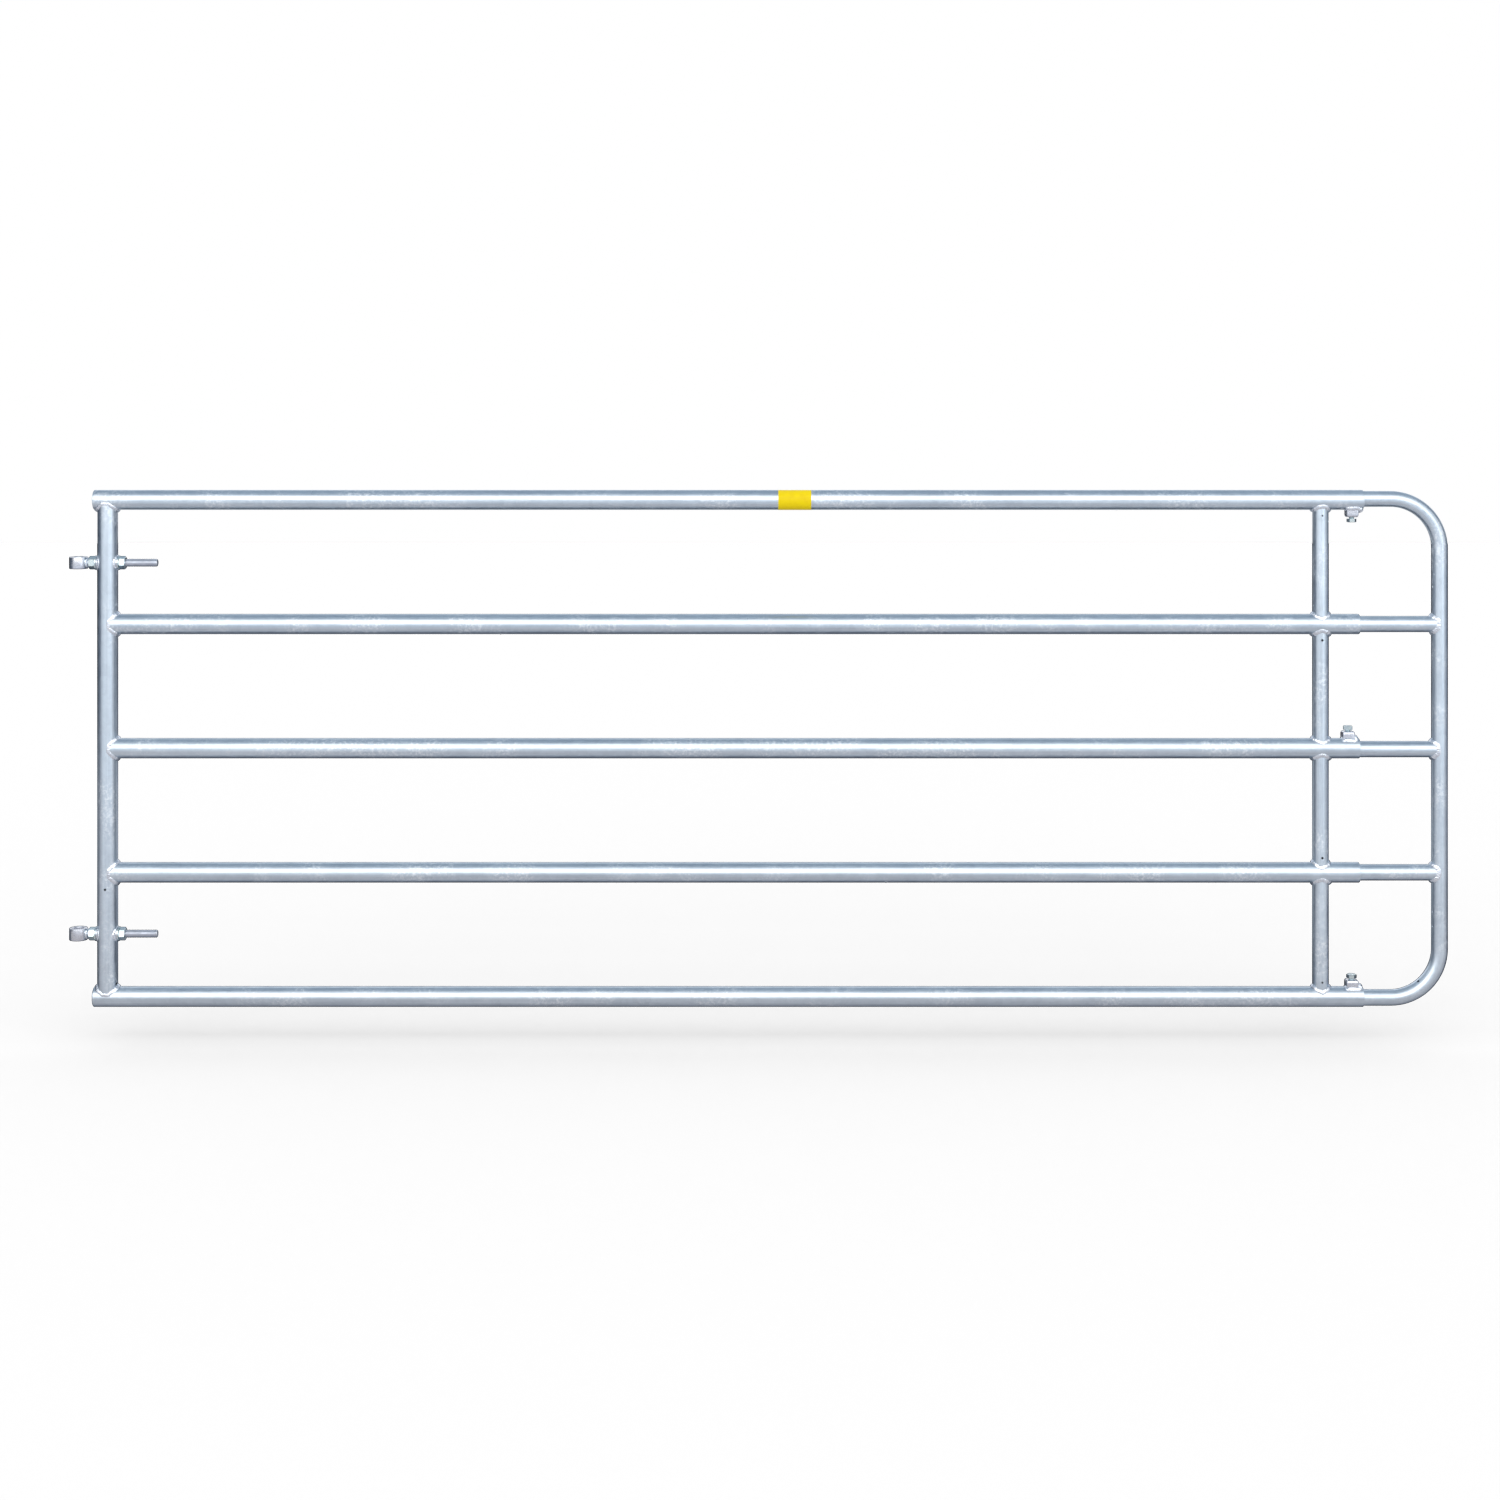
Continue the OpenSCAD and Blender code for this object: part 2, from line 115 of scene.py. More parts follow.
def mathOf(tree, operation, a, b):
    node = tree.nodes.new("ShaderNodeMath")
    node.operation = operation
    for socket, value in zip(node.inputs, (a, b)):
        if isinstance(value, (int, float)):
            socket.default_value = value
        else:
            wire(tree, value, socket)
    return node.outputs[0]


def sumOf(tree, *shares):  # adds up pairs of a value and its share
    total = None
    for value, share in shares:
        part = mathOf(tree, "MULTIPLY", value, share)
        total = part if total is None else mathOf(tree, "ADD", total, part)
    return total


def blendOf(tree, factor, a, b):
    node = tree.nodes.new("ShaderNodeMix")
    node.data_type = "RGBA"
    for socket, value in zip((node.inputs[0], node.inputs[6], node.inputs[7]), (factor, a, b)):
        if hasattr(value, "is_linked"):
            wire(tree, value, socket)
        else:
            socket.default_value = (*value, 1.0)
    return node.outputs[2]


def bumpOf(tree, height, strength, distance, under=None):
    node = addNode(tree, "ShaderNodeBump", Strength=strength, Distance=distance)
    wire(tree, height, node.inputs["Height"])
    if under:
        wire(tree, under, node.inputs["Normal"])
    return node.outputs["Normal"]


def startMaterial(name):
    material = bpy.data.materials.new(name)
    material.use_nodes = True
    tree = material.node_tree
    shader = tree.nodes["Principled BSDF"]
    place = tree.nodes.new("ShaderNodeTexCoord").outputs["Object"]
    return material, tree, shader, place


# hot-dip zinc: spangle, cloudy patches, pale dross specks, frosty groups and drawn streaks on the tubes
zincTube = dict(pale=(0.64, 0.72, 0.795), dull=(0.50, 0.57, 0.645), speck=(0.74, 0.79, 0.85),
                rough=(0.27, 0.37), spangle=95.0, spangleShare=0.28, clouds=7.0, cloudShare=0.36,
                mottleShare=0.30, streak=0.30, bloom=0.85, frost=(0.82, 0.86, 0.90),
                grain=1100.0, grainDepth=0.00006, wave=0.11)
zincBlock = dict(pale=(0.70, 0.72, 0.78), dull=(0.50, 0.52, 0.58), speck=(0.86, 0.87, 0.89),
                 rough=(0.17, 0.30), spangle=160.0, spangleShare=0.30, clouds=40.0, cloudShare=0.40,
                 mottleShare=0.40, streak=0.0, bloom=0.0, grain=900.0, grainDepth=0.0002, wave=0.25)
zincWeld = dict(pale=(0.80, 0.84, 0.90), dull=(0.58, 0.62, 0.69), speck=(0.90, 0.91, 0.93),
                rough=(0.20, 0.34), spangle=240.0, spangleShare=0.30, clouds=90.0, cloudShare=0.40,
                mottleShare=0.40, streak=0.0, bloom=0.0, grain=700.0, grainDepth=0.0003, wave=0.25)
# marks that the three zincs share: scales, the noise levels between which they come in, depths in metres
zincMarks = dict(warp=0.006, warpTimes=2.5, mottleTimes=4.0, cloudRange=(0.3, 0.7), glossRange=(0.1, 0.8),
                 streakStretch=(2.4, 170.0, 1.0), streakRange=(0.3, 0.7), streakBump=0.3, streakDepth=0.0005,
                 specks=420.0, speckRange=(0.72, 0.79), speckBump=0.5, speckDepth=0.0003,
                 groups=9.0, groupRange=(0.46, 0.62), frosts=150.0, frostRange=(0.43, 0.68), frostRough=0.20,
                 grainBump=0.35, waves=130.0, waveDepth=0.0006)


def makeZinc(name, look):
    marks = zincMarks
    material, tree, shader, place = startMaterial(name)
    cells = addNode(tree, "ShaderNodeTexVoronoi", Scale=look["spangle"], Randomness=1.0)
    warp = addNode(tree, "ShaderNodeTexNoise", Scale=look["spangle"] * marks["warpTimes"], Detail=2.0)
    wire(tree, place, warp.inputs["Vector"])
    shifted = tree.nodes.new("ShaderNodeVectorMath")
    shifted.operation = "MULTIPLY_ADD"
    shifted.inputs[1].default_value = (marks["warp"],) * 3
    wire(tree, warp.outputs["Color"], shifted.inputs[0])
    wire(tree, place, shifted.inputs[2])
    wire(tree, shifted.outputs[0], cells.inputs["Vector"])
    tint = tree.nodes.new("ShaderNodeSeparateColor")
    wire(tree, cells.outputs["Color"], tint.inputs[0])
    clouds = ranged(tree, noiseOf(tree, place, look["clouds"], 5.0, 0.6), *marks["cloudRange"])
    mottle = noiseOf(tree, place, look["spangle"] * marks["mottleTimes"], 4.0, 0.65)
    tone = sumOf(tree, (tint.outputs[0], look["spangleShare"]), (clouds, look["cloudShare"]),
                 (mottle, look["mottleShare"]))
    if look["streak"]:  # drawn lines along the tube
        strip = tree.nodes.new("ShaderNodeUVMap")
        strip.uv_map = "along"
        stretch = tree.nodes.new("ShaderNodeMapping")
        stretch.inputs["Scale"].default_value = marks["streakStretch"]
        wire(tree, strip.outputs[0], stretch.inputs["Vector"])
        streaks = noiseOf(tree, stretch.outputs[0], 1.0, 4.0, 0.6)
        shift = ranged(tree, streaks, *marks["streakRange"], -look["streak"], look["streak"])
        tone = mathOf(tree, "ADD", tone, shift)
    specks = ranged(tree, noiseOf(tree, place, marks["specks"], 2.0), *marks["speckRange"])
    colour = blendOf(tree, tone, look["dull"], look["pale"])
    colour = blendOf(tree, specks, colour, look["speck"])
    gloss = sumOf(tree, (tint.outputs[1], 0.5), (mottle, 0.5))
    gloss = ranged(tree, gloss, *marks["glossRange"], *look["rough"])
    if look["bloom"]:  # frosty patches in groups
        groups = ranged(tree, noiseOf(tree, place, marks["groups"], 3.0), *marks["groupRange"])
        frost = noiseOf(tree, place, marks["frosts"], 5.0, 0.68)
        frost = ranged(tree, frost, *marks["frostRange"], 0.0, look["bloom"])
        frost = mathOf(tree, "MULTIPLY", groups, frost)
        colour = blendOf(tree, frost, colour, look["frost"])
        gloss = mathOf(tree, "ADD", gloss, mathOf(tree, "MULTIPLY", frost, marks["frostRough"]))
    wire(tree, colour, shader.inputs["Base Color"])
    wire(tree, gloss, shader.inputs["Roughness"])
    shader.inputs["Metallic"].default_value = 1.0
    grain = noiseOf(tree, place, look["grain"], 3.0, 0.6)
    relief = bumpOf(tree, grain, marks["grainBump"], look["grainDepth"])
    waves = noiseOf(tree, place, marks["waves"], 2.0)
    relief = bumpOf(tree, waves, look["wave"], marks["waveDepth"], relief)
    if look["streak"]:
        relief = bumpOf(tree, streaks, marks["streakBump"], marks["streakDepth"], relief)
    relief = bumpOf(tree, specks, marks["speckBump"], marks["speckDepth"], relief)
    wire(tree, relief, shader.inputs["Normal"])
    return material


# thin bright zinc plate with a bluish passivation
plateFastener = dict(pale=(0.76, 0.86, 0.88), dull=(0.44, 0.53, 0.58), warm=(0.66, 0.70, 0.60),
                     rough=(0.14, 0.26))
plateRod = dict(pale=(0.71, 0.74, 0.80), dull=(0.54, 0.57, 0.63), warm=(0.63, 0.63, 0.64),
                rough=(0.30, 0.46))
plateMarks = dict(patches=60.0, patchRange=(0.3, 0.7), patchShare=0.7, scratches=900.0, scratchShare=0.3,
                  scratchBump=0.25, scratchDepth=0.0001, warmth=110.0, warmRange=(0.5, 0.75), warmMost=0.5,
                  glossRange=(0.2, 0.8))


def makePlate(name, look):
    marks = plateMarks
    material, tree, shader, place = startMaterial(name)
    patches = ranged(tree, noiseOf(tree, place, marks["patches"], 4.0, 0.6), *marks["patchRange"])
    warmth = noiseOf(tree, place, marks["warmth"], 3.0)
    warmth = ranged(tree, warmth, *marks["warmRange"], 0.0, marks["warmMost"])
    scratches = noiseOf(tree, place, marks["scratches"], 3.0, 0.7)
    tone = sumOf(tree, (patches, marks["patchShare"]), (scratches, marks["scratchShare"]))
    colour = blendOf(tree, tone, look["dull"], look["pale"])
    colour = blendOf(tree, warmth, colour, look["warm"])
    wire(tree, colour, shader.inputs["Base Color"])
    gloss = ranged(tree, tone, *marks["glossRange"], *reversed(look["rough"]))  # the pale spots shine most
    wire(tree, gloss, shader.inputs["Roughness"])
    shader.inputs["Metallic"].default_value = 1.0
    relief = bumpOf(tree, scratches, marks["scratchBump"], marks["scratchDepth"])
    wire(tree, relief, shader.inputs["Normal"])
    return material


# yellow self-adhesive film, faintly creased where it wraps the rail
film = dict(fresh=(0.81, 0.62, 0.002), worn=(0.77, 0.56, 0.003), grime=(0.55, 0.42, 0.05),
            rough=(0.30, 0.46), shine=0.15, fades=45.0, fadeRange=(0.3, 0.75),
            specks=700.0, speckRange=(0.62, 0.78), speckMost=0.25,
            creases=160.0, creaseBump=0.2, creaseDepth=0.0005)


def makeFilm(name, look):
    material, tree, shader, place = startMaterial(name)
    fade = ranged(tree, noiseOf(tree, place, look["fades"], 4.0, 0.6), *look["fadeRange"])
    specks = noiseOf(tree, place, look["specks"], 3.0)
    specks = ranged(tree, specks, *look["speckRange"], 0.0, look["speckMost"])
    colour = blendOf(tree, fade, look["fresh"], look["worn"])
    colour = blendOf(tree, specks, colour, look["grime"])
    wire(tree, colour, shader.inputs["Base Color"])
    wire(tree, ranged(tree, fade, 0.0, 1.0, *look["rough"]), shader.inputs["Roughness"])
    shader.inputs["Specular IOR Level"].default_value = look["shine"]
    creases = noiseOf(tree, place, look["creases"], 3.0)
    relief = bumpOf(tree, creases, look["creaseBump"], look["creaseDepth"])
    wire(tree, relief, shader.inputs["Normal"])
    return material


slotLooks = {"galvanised_tube": makeZinc("tube_zinc", zincTube),
             "galvanised_block": makeZinc("block_zinc", zincBlock),
             "galvanised_weld": makeZinc("weld_zinc", zincWeld),
             "zinc_fastener": makePlate("fastener_plate", plateFastener),
             "threaded_rod": makePlate("rod_plate", plateRod),
             "label_film": makeFilm("yellow_film", film)}
print("materials made:", len(slotLooks))


# small bmesh helpers

def vertsIn(geom):
    return [g for g in geom if isinstance(g, bmesh.types.BMVert)]


def edgesIn(geom):
    return [g for g in geom if isinstance(g, bmesh.types.BMEdge)]


def turned(degrees, axis, size=3):
    return Matrix.Rotation(math.radians(degrees), size, axis)


def standing(x, z, way):  # turns what is made upright to its place on a tube
    turn = {"up": (0, "X"), "down": (180, "X"), "right": (90, "Y"), "left": (-90, "Y")}[way]
    return Matrix.Translation((x, 0, z)) @ turned(*turn, 4)


def putAt(bm, place):
    bmesh.ops.transform(bm, matrix=place, verts=bm.verts[:])


def cutAcross(bm, at, normal, clear=False):
    bmesh.ops.bisect_plane(bm, geom=bm.verts[:] + bm.edges[:] + bm.faces[:], plane_co=at, plane_no=normal,
                           clear_outer=clear)


def objectFrom(name, bm):
    mesh = bpy.data.meshes.new(name)
    bm.to_mesh(mesh)
    bm.free()
    thing = bpy.data.objects.new(name, mesh)
    bpy.context.collection.objects.link(thing)
    return thing


def joinInto(bm, part, place):
    putAt(part, place)
    mesh = bpy.data.meshes.new("part")
    part.to_mesh(mesh)
    part.free()
    bm.from_mesh(mesh)
    bpy.data.meshes.remove(mesh)


# finishing a bmesh as a piece of the gate: edges sharper than the crease, in degrees, stay hard
def finishPiece(name, bm, slot, body, *nodes, crease=38.0):
    bmesh.ops.recalc_face_normals(bm, faces=bm.faces[:])
    for face in bm.faces:
        face.smooth = True
    for edge in bm.edges:
        edge.smooth = len(edge.link_faces) == 2 and edge.calc_face_angle() < math.radians(crease)
    piece = objectFrom(name, bm)
    piece.data.materials.append(slotLooks[slot])
    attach(piece, body)
    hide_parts(*nodes)


weldCrease = 70.0
hexCrease = 25.0


# holes: each cutter is (point on its axis, direction, radius, length)
def drill(bm, cutters, sides=32):
    blank = objectFrom("blank", bm)
    bits = []
    for start, direction, radius, length in cutters:
        bit = bmesh.new()
        turn = direction.to_track_quat("Z", "Y").to_matrix().to_4x4()
        place = Matrix.Translation(start + direction * length / 2) @ turn
        bmesh.ops.create_cone(bit, cap_ends=True, segments=sides, radius1=radius, radius2=radius,
                              depth=length, matrix=place)
        bits.append(objectFrom("bit", bit))
        cut = blank.modifiers.new("hole", "BOOLEAN")
        cut.operation = "DIFFERENCE"
        cut.solver = "EXACT"
        cut.object = bits[-1]
    drilled = bmesh.new()
    drilled.from_object(blank, bpy.context.evaluated_depsgraph_get())
    for thing in [blank] + bits:
        mesh = thing.data
        bpy.data.objects.remove(thing)
        bpy.data.meshes.remove(mesh)
    return drilled


# tubes: a ring pulled along straight runs and spun round bends, then given its wall and rounded lips
tube = dict(railR=0.0212, braceR=0.01685, slideR=0.01685, wall=0.002, around=72, lip=0.0009, lipAngle=60.0,
            endRuns=[0.003, 0.027],  # loops that hold the lip's shading and the cope
            copeDepth=0.0045, copeLip=0.006, gap=0.0003, throughWall=0.03)


def drawTube(start, heading, radius, runs):
    bm = bmesh.new()
    heading = heading.normalized()
    stand = Matrix.Translation(start) @ heading.to_track_quat("Z", "Y").to_matrix().to_4x4()
    bmesh.ops.create_circle(bm, segments=tube["around"], radius=radius, matrix=stand)
    ring = bm.edges[:]
    place = start.copy()
    for run in runs:
        if isinstance(run, tuple):  # a bend of a quarter turn: its radius, its steps and the side it turns to
            bendR, steps, side = run
            centre = place + side * bendR
            axis = heading.cross(side)
            made = bmesh.ops.spin(bm, geom=ring, cent=centre, axis=axis, angle=math.pi / 2, steps=steps)
            ring = edgesIn(made["geom_last"])
            place = centre + heading * bendR
            heading = side.copy()
        else:
            made = bmesh.ops.extrude_edge_only(bm, edges=ring)["geom"]
            ring = [e for e in edgesIn(made) if e.is_boundary]
            bmesh.ops.translate(bm, vec=heading * run, verts=vertsIn(made))
            place += heading * run
    bmesh.ops.recalc_face_normals(bm, faces=bm.faces[:])
    bmesh.ops.solidify(bm, geom=bm.faces[:], thickness=tube["wall"])
    return bm


def roundLips(bm, ends):  # ends: (point, direction) of the open ends
    rims = []
    for edge in bm.edges:
        if len(edge.link_faces) == 2 and edge.calc_face_angle() > math.radians(tube["lipAngle"]):
            if any(all(abs((v.co - p).dot(d)) < 1e-5 for v in edge.verts) for p, d in ends):
                rims.append(edge)
    bmesh.ops.bevel(bm, geom=rims, offset=tube["lip"], segments=2, profile=0.5, affect="EDGES", material=-1)


def straightTube(start, end, radius):
    heading = (end - start).normalized()
    ends = tube["endRuns"]
    bm = drawTube(start, heading, radius, ends + [(end - start).length - 2 * sum(ends)] + ends[::-1])
    roundLips(bm, [(start, heading), (end, heading)])
    return bm


# slides the end of a tube onto the tube that it meets
def cope(bm, end, inward, metR):
    for v in bm.verts:
        if (v.co - end).dot(inward) < tube["copeDepth"]:
            v.co += inward * math.sqrt(max((metR + tube["gap"]) ** 2 - v.co.y ** 2, tube["copeLip"] ** 2))


# unrolls a tube for the streaks: metres along it and metres round it
def layAlong(bm, spine):
    layer = bm.loops.layers.uv.new("along")
    for face in bm.faces:
        reference = None
        for loop in face.loops:
            run, centre, heading = spine(loop.vert.co)
            out = loop.vert.co - centre
            angle = math.atan2(out.dot(heading.cross(front)), out.dot(front))
            if reference is None:
                reference = angle
            angle += round((reference - angle) / fullTurn) * fullTurn
            loop[layer].uv = (run, angle * tube["railR"])


def straightSpine(start, heading, offset):
    def spine(co):
        run = (co - start).dot(heading)
        return run + offset, start + heading * run, heading
    return spine


# where each tube starts on the streak pattern, so that no two look alike
streakStart = dict(rail=(0.0, 7.3), post=40.0, brace=(50.0, 3.1), slide=(70.0, 4.7))


def streakAt(kind, i):
    first, step = streakStart[kind]
    return first + i * step


clampHole = dict(rails=("top_rail", "middle_rail", "bottom_rail"), inset=0.023, radius=0.00675)
for i, node in enumerate(railNames):  # the five rails, the three inner ones coped to the hinge post
    low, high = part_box(node)
    outer = i in (0, 4)
    start = Vector((low.x if outer else postX, 0, railZ[i]))
    bm = straightTube(start, Vector((high.x, 0, railZ[i])), tube["railR"])
    if not outer:
        cope(bm, start, alongX, tube["railR"])
    layAlong(bm, straightSpine(start, alongX, streakAt("rail", i)))
    if node in clampHole["rails"]:
        way = -upZ if node == "top_rail" else upZ
        holeAt = Vector((high.x - clampHole["inset"], 0, railZ[i]))
        bm = drill(bm, [(holeAt, way, clampHole["radius"], tube["throughWall"])])
    finishPiece(node.replace("_", "-") + "-tube", bm, "galvanised_tube", "frame", node)


def uprightTube(x, z0, z1, radius, offset):  # coped to a rail at both ends
    start, end = Vector((x, 0, z0)), Vector((x, 0, z1))
    bm = straightTube(start, end, radius)
    cope(bm, start, upZ, tube["railR"])
    cope(bm, end, -upZ, tube["railR"])
    layAlong(bm, straightSpine(start, upZ, offset))
    return bm


# the hinge post, drilled for its bushes and vented below the lower rail and near its foot
post = dict(bushR=0.01355, bushRun=0.1, ventDrop=0.0332, ventR=0.0025,
            footRise=0.028, footTurn=74.0, footR=0.0034)
bm = uprightTube(postX, railZ[0], railZ[4], tube["railR"], streakStart["post"])
holes = [(Vector((postX - post["bushRun"] / 2, 0, z)), alongX, post["bushR"], post["bushRun"])
         for side, z in hinges]
holes.append((Vector((postX, 0, railZ[1] - post["ventDrop"])), front, post["ventR"], tube["throughWall"]))
holes.append((Vector((postX, 0, railZ[0] + post["footRise"])), turned(post["footTurn"], "Z") @ front,
              post["footR"], tube["throughWall"]))
bm = drill(bm, holes)
finishPiece("hinge-post-tube", bm, "galvanised_tube", "frame", "hinge_post")

# the four brace tubes, each with a vent hole in front
brace = dict(vent=0.0332, ventR=(0.0021, 0.0025, 0.0025, 0.0018), ventHigh=(False, False, True, True))
for i, node in enumerate(braceNames):
    bm = uprightTube(braceX, railZ[i], railZ[i + 1], tube["braceR"], streakAt("brace", i))
    ventZ = railZ[i + 1] - brace["vent"] if brace["ventHigh"][i] else railZ[i] + brace["vent"]
    bm = drill(bm, [(Vector((braceX, 0, ventZ)), front, brace["ventR"][i], tube["throughWall"])])
    finishPiece(node.replace("_", "-") + "-tube", bm, "galvanised_tube", "frame", node)

# the bow, bent from one tube
bow = dict(bendR=0.105, bendSteps=28, lipRun=0.003, ventAngle=50.0, ventTurn=25.0, ventR=0.0025)
bowLow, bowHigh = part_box("extension_bow")
bowX = bowHigh.x - tube["slideR"]
bowZ = (bowLow.z + tube["slideR"], bowHigh.z - tube["slideR"])
tangentX = bowX - bow["bendR"]
armLength = tangentX - bowLow.x
upright = bowZ[1] - bowZ[0] - 2 * bow["bendR"]
armRuns = [bow["lipRun"], armLength - bow["lipRun"]]
bends = [(bow["bendR"], bow["bendSteps"], side) for side in (upZ, -alongX)]
armEnds = [Vector((bowLow.x, 0, z)) for z in bowZ]
bm = drawTube(armEnds[0], alongX, tube["slideR"], armRuns + [bends[0], upright, bends[1]] + armRuns[::-1])
roundLips(bm, [(end, alongX) for end in armEnds])


def bowSpine(co):  # counted from the middle of the upright
    quarter = bow["bendR"] * math.pi / 2
    midZ = (bowZ[0] + bowZ[1]) / 2
    sign = 1 if co.z > midZ else -1
    armZ = bowZ[1] if sign > 0 else bowZ[0]
    centre = Vector((tangentX, 0, armZ - sign * bow["bendR"]))
    if (co.z - centre.z) * sign <= 0:
        return co.z - midZ, Vector((bowX, 0, co.z)), upZ
    if co.x <= tangentX:
        armEnd = armLength + quarter + upright / 2
        return sign * (armEnd - (co.x - bowLow.x)), Vector((co.x, 0, armZ)), -alongX * sign
    turn = math.atan2((co.z - centre.z) * sign, co.x - centre.x)
    out = Vector((math.cos(turn), 0, sign * math.sin(turn)))
    heading = Vector((-math.sin(turn), 0, sign * math.cos(turn))) * sign
    return sign * (upright / 2 + turn * bow["bendR"]), centre + out * bow["bendR"], heading


layAlong(bm, bowSpine)
ventTilt = turned(bow["ventAngle"], "Y")  # round the lower bend
ventFrom = Vector((tangentX, 0, bowZ[0] + bow["bendR"])) + ventTilt @ Vector((bow["bendR"], 0, 0))
ventAim = ventTilt @ turned(bow["ventTurn"], "Z") @ -alongX
bm = drill(bm, [(ventFrom, ventAim, bow["ventR"], tube["throughWall"])])
finishPiece("bow-tube", bm, "galvanised_tube", "extension", "extension_bow")

# the three slide tubes, coped to the bow's upright
for i, node in enumerate(slideNames):
    start, end = Vector((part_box(node)[0].x, 0, slideZ[i])), Vector((bowX, 0, slideZ[i]))
    bm = straightTube(start, end, tube["slideR"])
    cope(bm, end, -alongX, tube["slideR"])
    layAlong(bm, straightSpine(start, alongX, streakAt("slide", i)))
    finishPiece(node.replace("_", "-") + "-run", bm, "galvanised_tube", "extension", node)
print("tubes drawn")


# weld beads: a small ring spun round the branch, then laid into the corner between the two tubes
weld = dict(rows=14, steps=264, ringR=4.0, sink=0.0004, rootIn=0.001, trialLeg=0.003, crown=0.0010,
            wander=0.26, wanderScale=2.2, pitch=0.0044, ripple=0.00034, beatLag=0.45, uneven=0.9,
            lump=0.45, lumpScale=2.3, swellPower=0.8)


def seatBead(base, side, leg, mainR, end, lift):
    reach = math.sqrt(mainR ** 2 - tube["copeLip"] ** 2)
    y = max(-reach, min(reach, base.y))
    z = math.sqrt(mainR ** 2 - y ** 2)
    up = Vector((0, y, z)) / mainR
    away = (side - up * side.dot(up)).normalized()
    toe = Vector((base.x, y, z)) + away * leg
    rounded = Vector((0, toe.y, toe.z)).normalized() * (mainR - weld["sink"])
    toe = Vector((toe.x, rounded.y, rounded.z))
    foot = base - side * weld["sink"]
    climb = foot + upZ * min(z + lift, end)
    root = foot + upZ * z - side * weld["rootIn"] - up * weld["rootIn"]
    return root, toe, climb, (side + up).normalized()


beadRings = {}  # a plain ring for each count of steps


def beadRing(steps):
    if steps not in beadRings:
        ring = beadRings[steps] = bmesh.new()
        stand = Matrix.Translation((weld["ringR"], 0, 0)) @ turned(90, "X", 4)
        bmesh.ops.create_circle(ring, segments=weld["rows"], radius=1.0, matrix=stand)
        bmesh.ops.spin(ring, geom=ring.edges[:], cent=(0, 0, 0), axis=(0, 0, 1), angle=fullTurn, steps=steps,
                       use_merge=True)
        bmesh.ops.remove_doubles(ring, verts=ring.verts[:], dist=1e-4)
    return beadRings[steps].copy()


# at a turn, pathAt gives the foot of the branch's wall and its outward side, legAt the two legs and the bulge
def layBead(pathAt, legAt, mainR, end=math.inf, seed=0.0, steps=weld["steps"], crown=weld["crown"]):
    bm = beadRing(steps)
    runs, last, total = [], None, 0.0
    for k in range(steps + 1):  # how far along the joint each step is
        base, side = pathAt(fullTurn * k / steps)
        toe = seatBead(base, side, weld["trialLeg"], mainR, end, weld["trialLeg"])[1]
        total += (toe - last).length if last else 0.0
        last = toe
        runs.append(total)
    beats = max(8, round(total / weld["pitch"]))
    for v in bm.verts:
        turn = math.atan2(v.co.y, v.co.x) % fullTurn
        k = round(turn / fullTurn * steps) % steps
        around = math.atan2(v.co.z, math.hypot(v.co.x, v.co.y) - weld["ringR"]) / fullTurn
        row = math.floor(around * weld["rows"]) % weld["rows"]
        base, side = pathAt(fullTurn * k / steps)
        spread = weld["wanderScale"]
        spot = Vector((math.cos(turn) * spread + seed, math.sin(turn) * spread, seed * 1.7))
        sway = 1 + weld["wander"] * (noise.noise(spot) + 0.5 * noise.noise(spot * 3.1))
        leg, lift, bulge = legAt(fullTurn * k / steps)
        root, toe, climb, out = seatBead(base, side, leg * sway, mainR, end, lift * (2 - sway))
        if row == 0:
            v.co = root
            continue
        s = (row - 1) / (weld["rows"] - 2)
        beat = runs[k] / total * beats - weld["beatLag"] * math.sin(math.pi * s)
        ridge = 1 - abs(2 * (beat % 1.0) - 1) ** 2
        beatSpot = Vector((math.floor(beat) % beats * 1.37 + seed, 0.4, seed))
        uneven = 1 + weld["uneven"] * noise.noise(beatSpot)
        lump = bulge * (1 + weld["lump"] * noise.noise(spot * weld["lumpScale"] + Vector((5, 0, 0))))
        swell = math.sin(math.pi * s) ** weld["swellPower"]
        v.co = toe.lerp(climb, s) + out * (swell * (crown * lump + weld["ripple"] * ridge * uneven))
    return bm


def roundPath(radius):
    def pathAt(turn):
        side = Vector((math.cos(turn), math.sin(turn), 0))
        return side * radius, side
    return pathAt


def evenLegs(leg, lift):
    return lambda turn: (leg, lift, 1.0)


# other legs at the front and back of the branch, where its saddle is lowest
def saddleLegs(side, facing, lift, tip=0.0):
    def legAt(turn):
        share = abs(math.sin(turn))
        return side + (facing - side) * share ** 3 + tip * share ** 30, lift, 1.0
    return legAt


def finishWeld(name, bm, body, node):
    finishPiece(name, bm, "galvanised_weld", body, node, crease=weldCrease)


postWeld = dict(side=0.0062, lift=0.0056, joints=[  # way, height, leg in front
    ("up", railZ[0], 0.0028), ("down", railZ[4], 0.0020),
    ("right", railZ[1], 0.0036), ("right", railZ[2], 0.0040), ("right", railZ[3], 0.0036)])
bm = bmesh.new()
for way, z, facing in postWeld["joints"]:
    legs = saddleLegs(postWeld["side"], facing, postWeld["lift"])
    bead = layBead(roundPath(tube["railR"]), legs, tube["railR"], seed=z * 9 + 3)
    joinInto(bm, bead, standing(postX, z, way))
finishWeld("hinge-post-weld-beads", bm, "frame", "hinge_post_welds")

